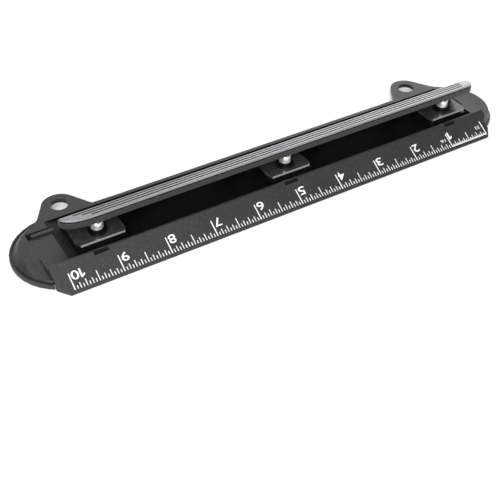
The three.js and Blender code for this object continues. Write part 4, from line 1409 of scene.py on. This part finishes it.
@dataclass
class Studio:
    """A pale floor, soft white light all round and the photograph's camera."""

    camera_place: tuple[float, float, float] = (-0.22035, -0.3407, 0.2858)
    azimuth: float = -31.4
    elevation: float = 40.0
    lens: float = 65.35
    floor_level: float = -0.0002

    def floor(self) -> None:
        """The pale floor."""
        mesh = bpy.data.meshes.new("floor")
        reach = 4.0
        corners = [(-reach, -reach), (reach, -reach), (reach, reach), (-reach, reach)]
        mesh.from_pydata([(x, y, self.floor_level) for x, y in corners], [], [(0, 1, 2, 3)])
        ground = link("floor", mesh)
        maker = MaterialBuilder("pale floor")
        maker.shader.inputs["Base Color"].default_value = (0.93, 0.93, 0.93, 1.0)
        maker.shader.inputs["Roughness"].default_value = 0.9
        maker.shader.inputs["Specular IOR Level"].default_value = 0.1
        mesh.materials.append(maker.material)

    def lights(self) -> None:
        """An even white world and broad soft lamps over the object."""
        world = bpy.data.worlds.new("white surroundings")
        world.use_nodes = True
        surround = world.node_tree.nodes["Background"]
        surround.inputs["Color"].default_value = (1.0, 1.0, 1.0, 1.0)
        surround.inputs["Strength"].default_value = 0.38
        bpy.context.scene.world = world
        for name, place, size, power in (
            ("overhead panel", (-0.2, 0.0, 1.3), 1.3, 9.0),
            ("front panel", (-0.95, -1.33, 1.12), 1.1, 38.0),
            ("back panel", (0.45, 1.6, 1.25), 1.2, 3.4),
            ("low back panel", (1.45, 1.45, 1.05), 1.1, 8.0),
        ):
            lamp = bpy.data.lights.new(name, "AREA")
            lamp.shape = "SQUARE"
            lamp.size = size
            lamp.energy = power
            holder = bpy.data.objects.new(name, lamp)
            holder.location = place
            holder.rotation_mode = "QUATERNION"
            holder.rotation_quaternion = (-Vector(place)).to_track_quat("-Z", "Y")
            bpy.context.scene.collection.objects.link(holder)

    def camera(self) -> None:
        """The camera at the photograph's angle and distance."""
        view = bpy.data.cameras.new("photograph view")
        view.lens = self.lens
        view.sensor_width = 36.0
        view.clip_start = 0.01
        view.clip_end = 20.0
        holder = bpy.data.objects.new("photograph view", view)
        turn, lift = math.radians(self.azimuth), math.radians(self.elevation)
        back = Vector((math.sin(turn) * math.cos(lift), -math.cos(turn) * math.cos(lift), math.sin(lift)))
        holder.location = self.camera_place
        holder.rotation_mode = "QUATERNION"
        holder.rotation_quaternion = Quaternion((-back).to_track_quat("-Z", "Y"))
        bpy.context.scene.collection.objects.link(holder)
        bpy.context.scene.camera = holder

    def build(self) -> None:
        """Sets the whole studio up."""
        self.floor()
        self.lights()
        self.camera()
        bpy.context.scene.view_settings.view_transform = "Standard"


def main() -> None:
    """Builds every sub-assembly in order."""
    logging.basicConfig(level=logging.INFO, format="%(name)s: %(message)s")
    Studio().build()
    finishes = Finishes.build()
    BaseMoulding(finishes).build()
    RulerPrint(finishes).build()
    PressLever(finishes).build()
    stations = (
        ("left", -PUNCH_PITCH, Body.PIN_LEFT),
        ("middle", 0.0, Body.PIN_MIDDLE),
        ("right", PUNCH_PITCH, Body.PIN_RIGHT),
    )
    for name, x, body in stations:
        PunchStation(finishes, name, x, body).build()
    HingeLine(finishes).build()


if __name__ == "__main__":
    main()
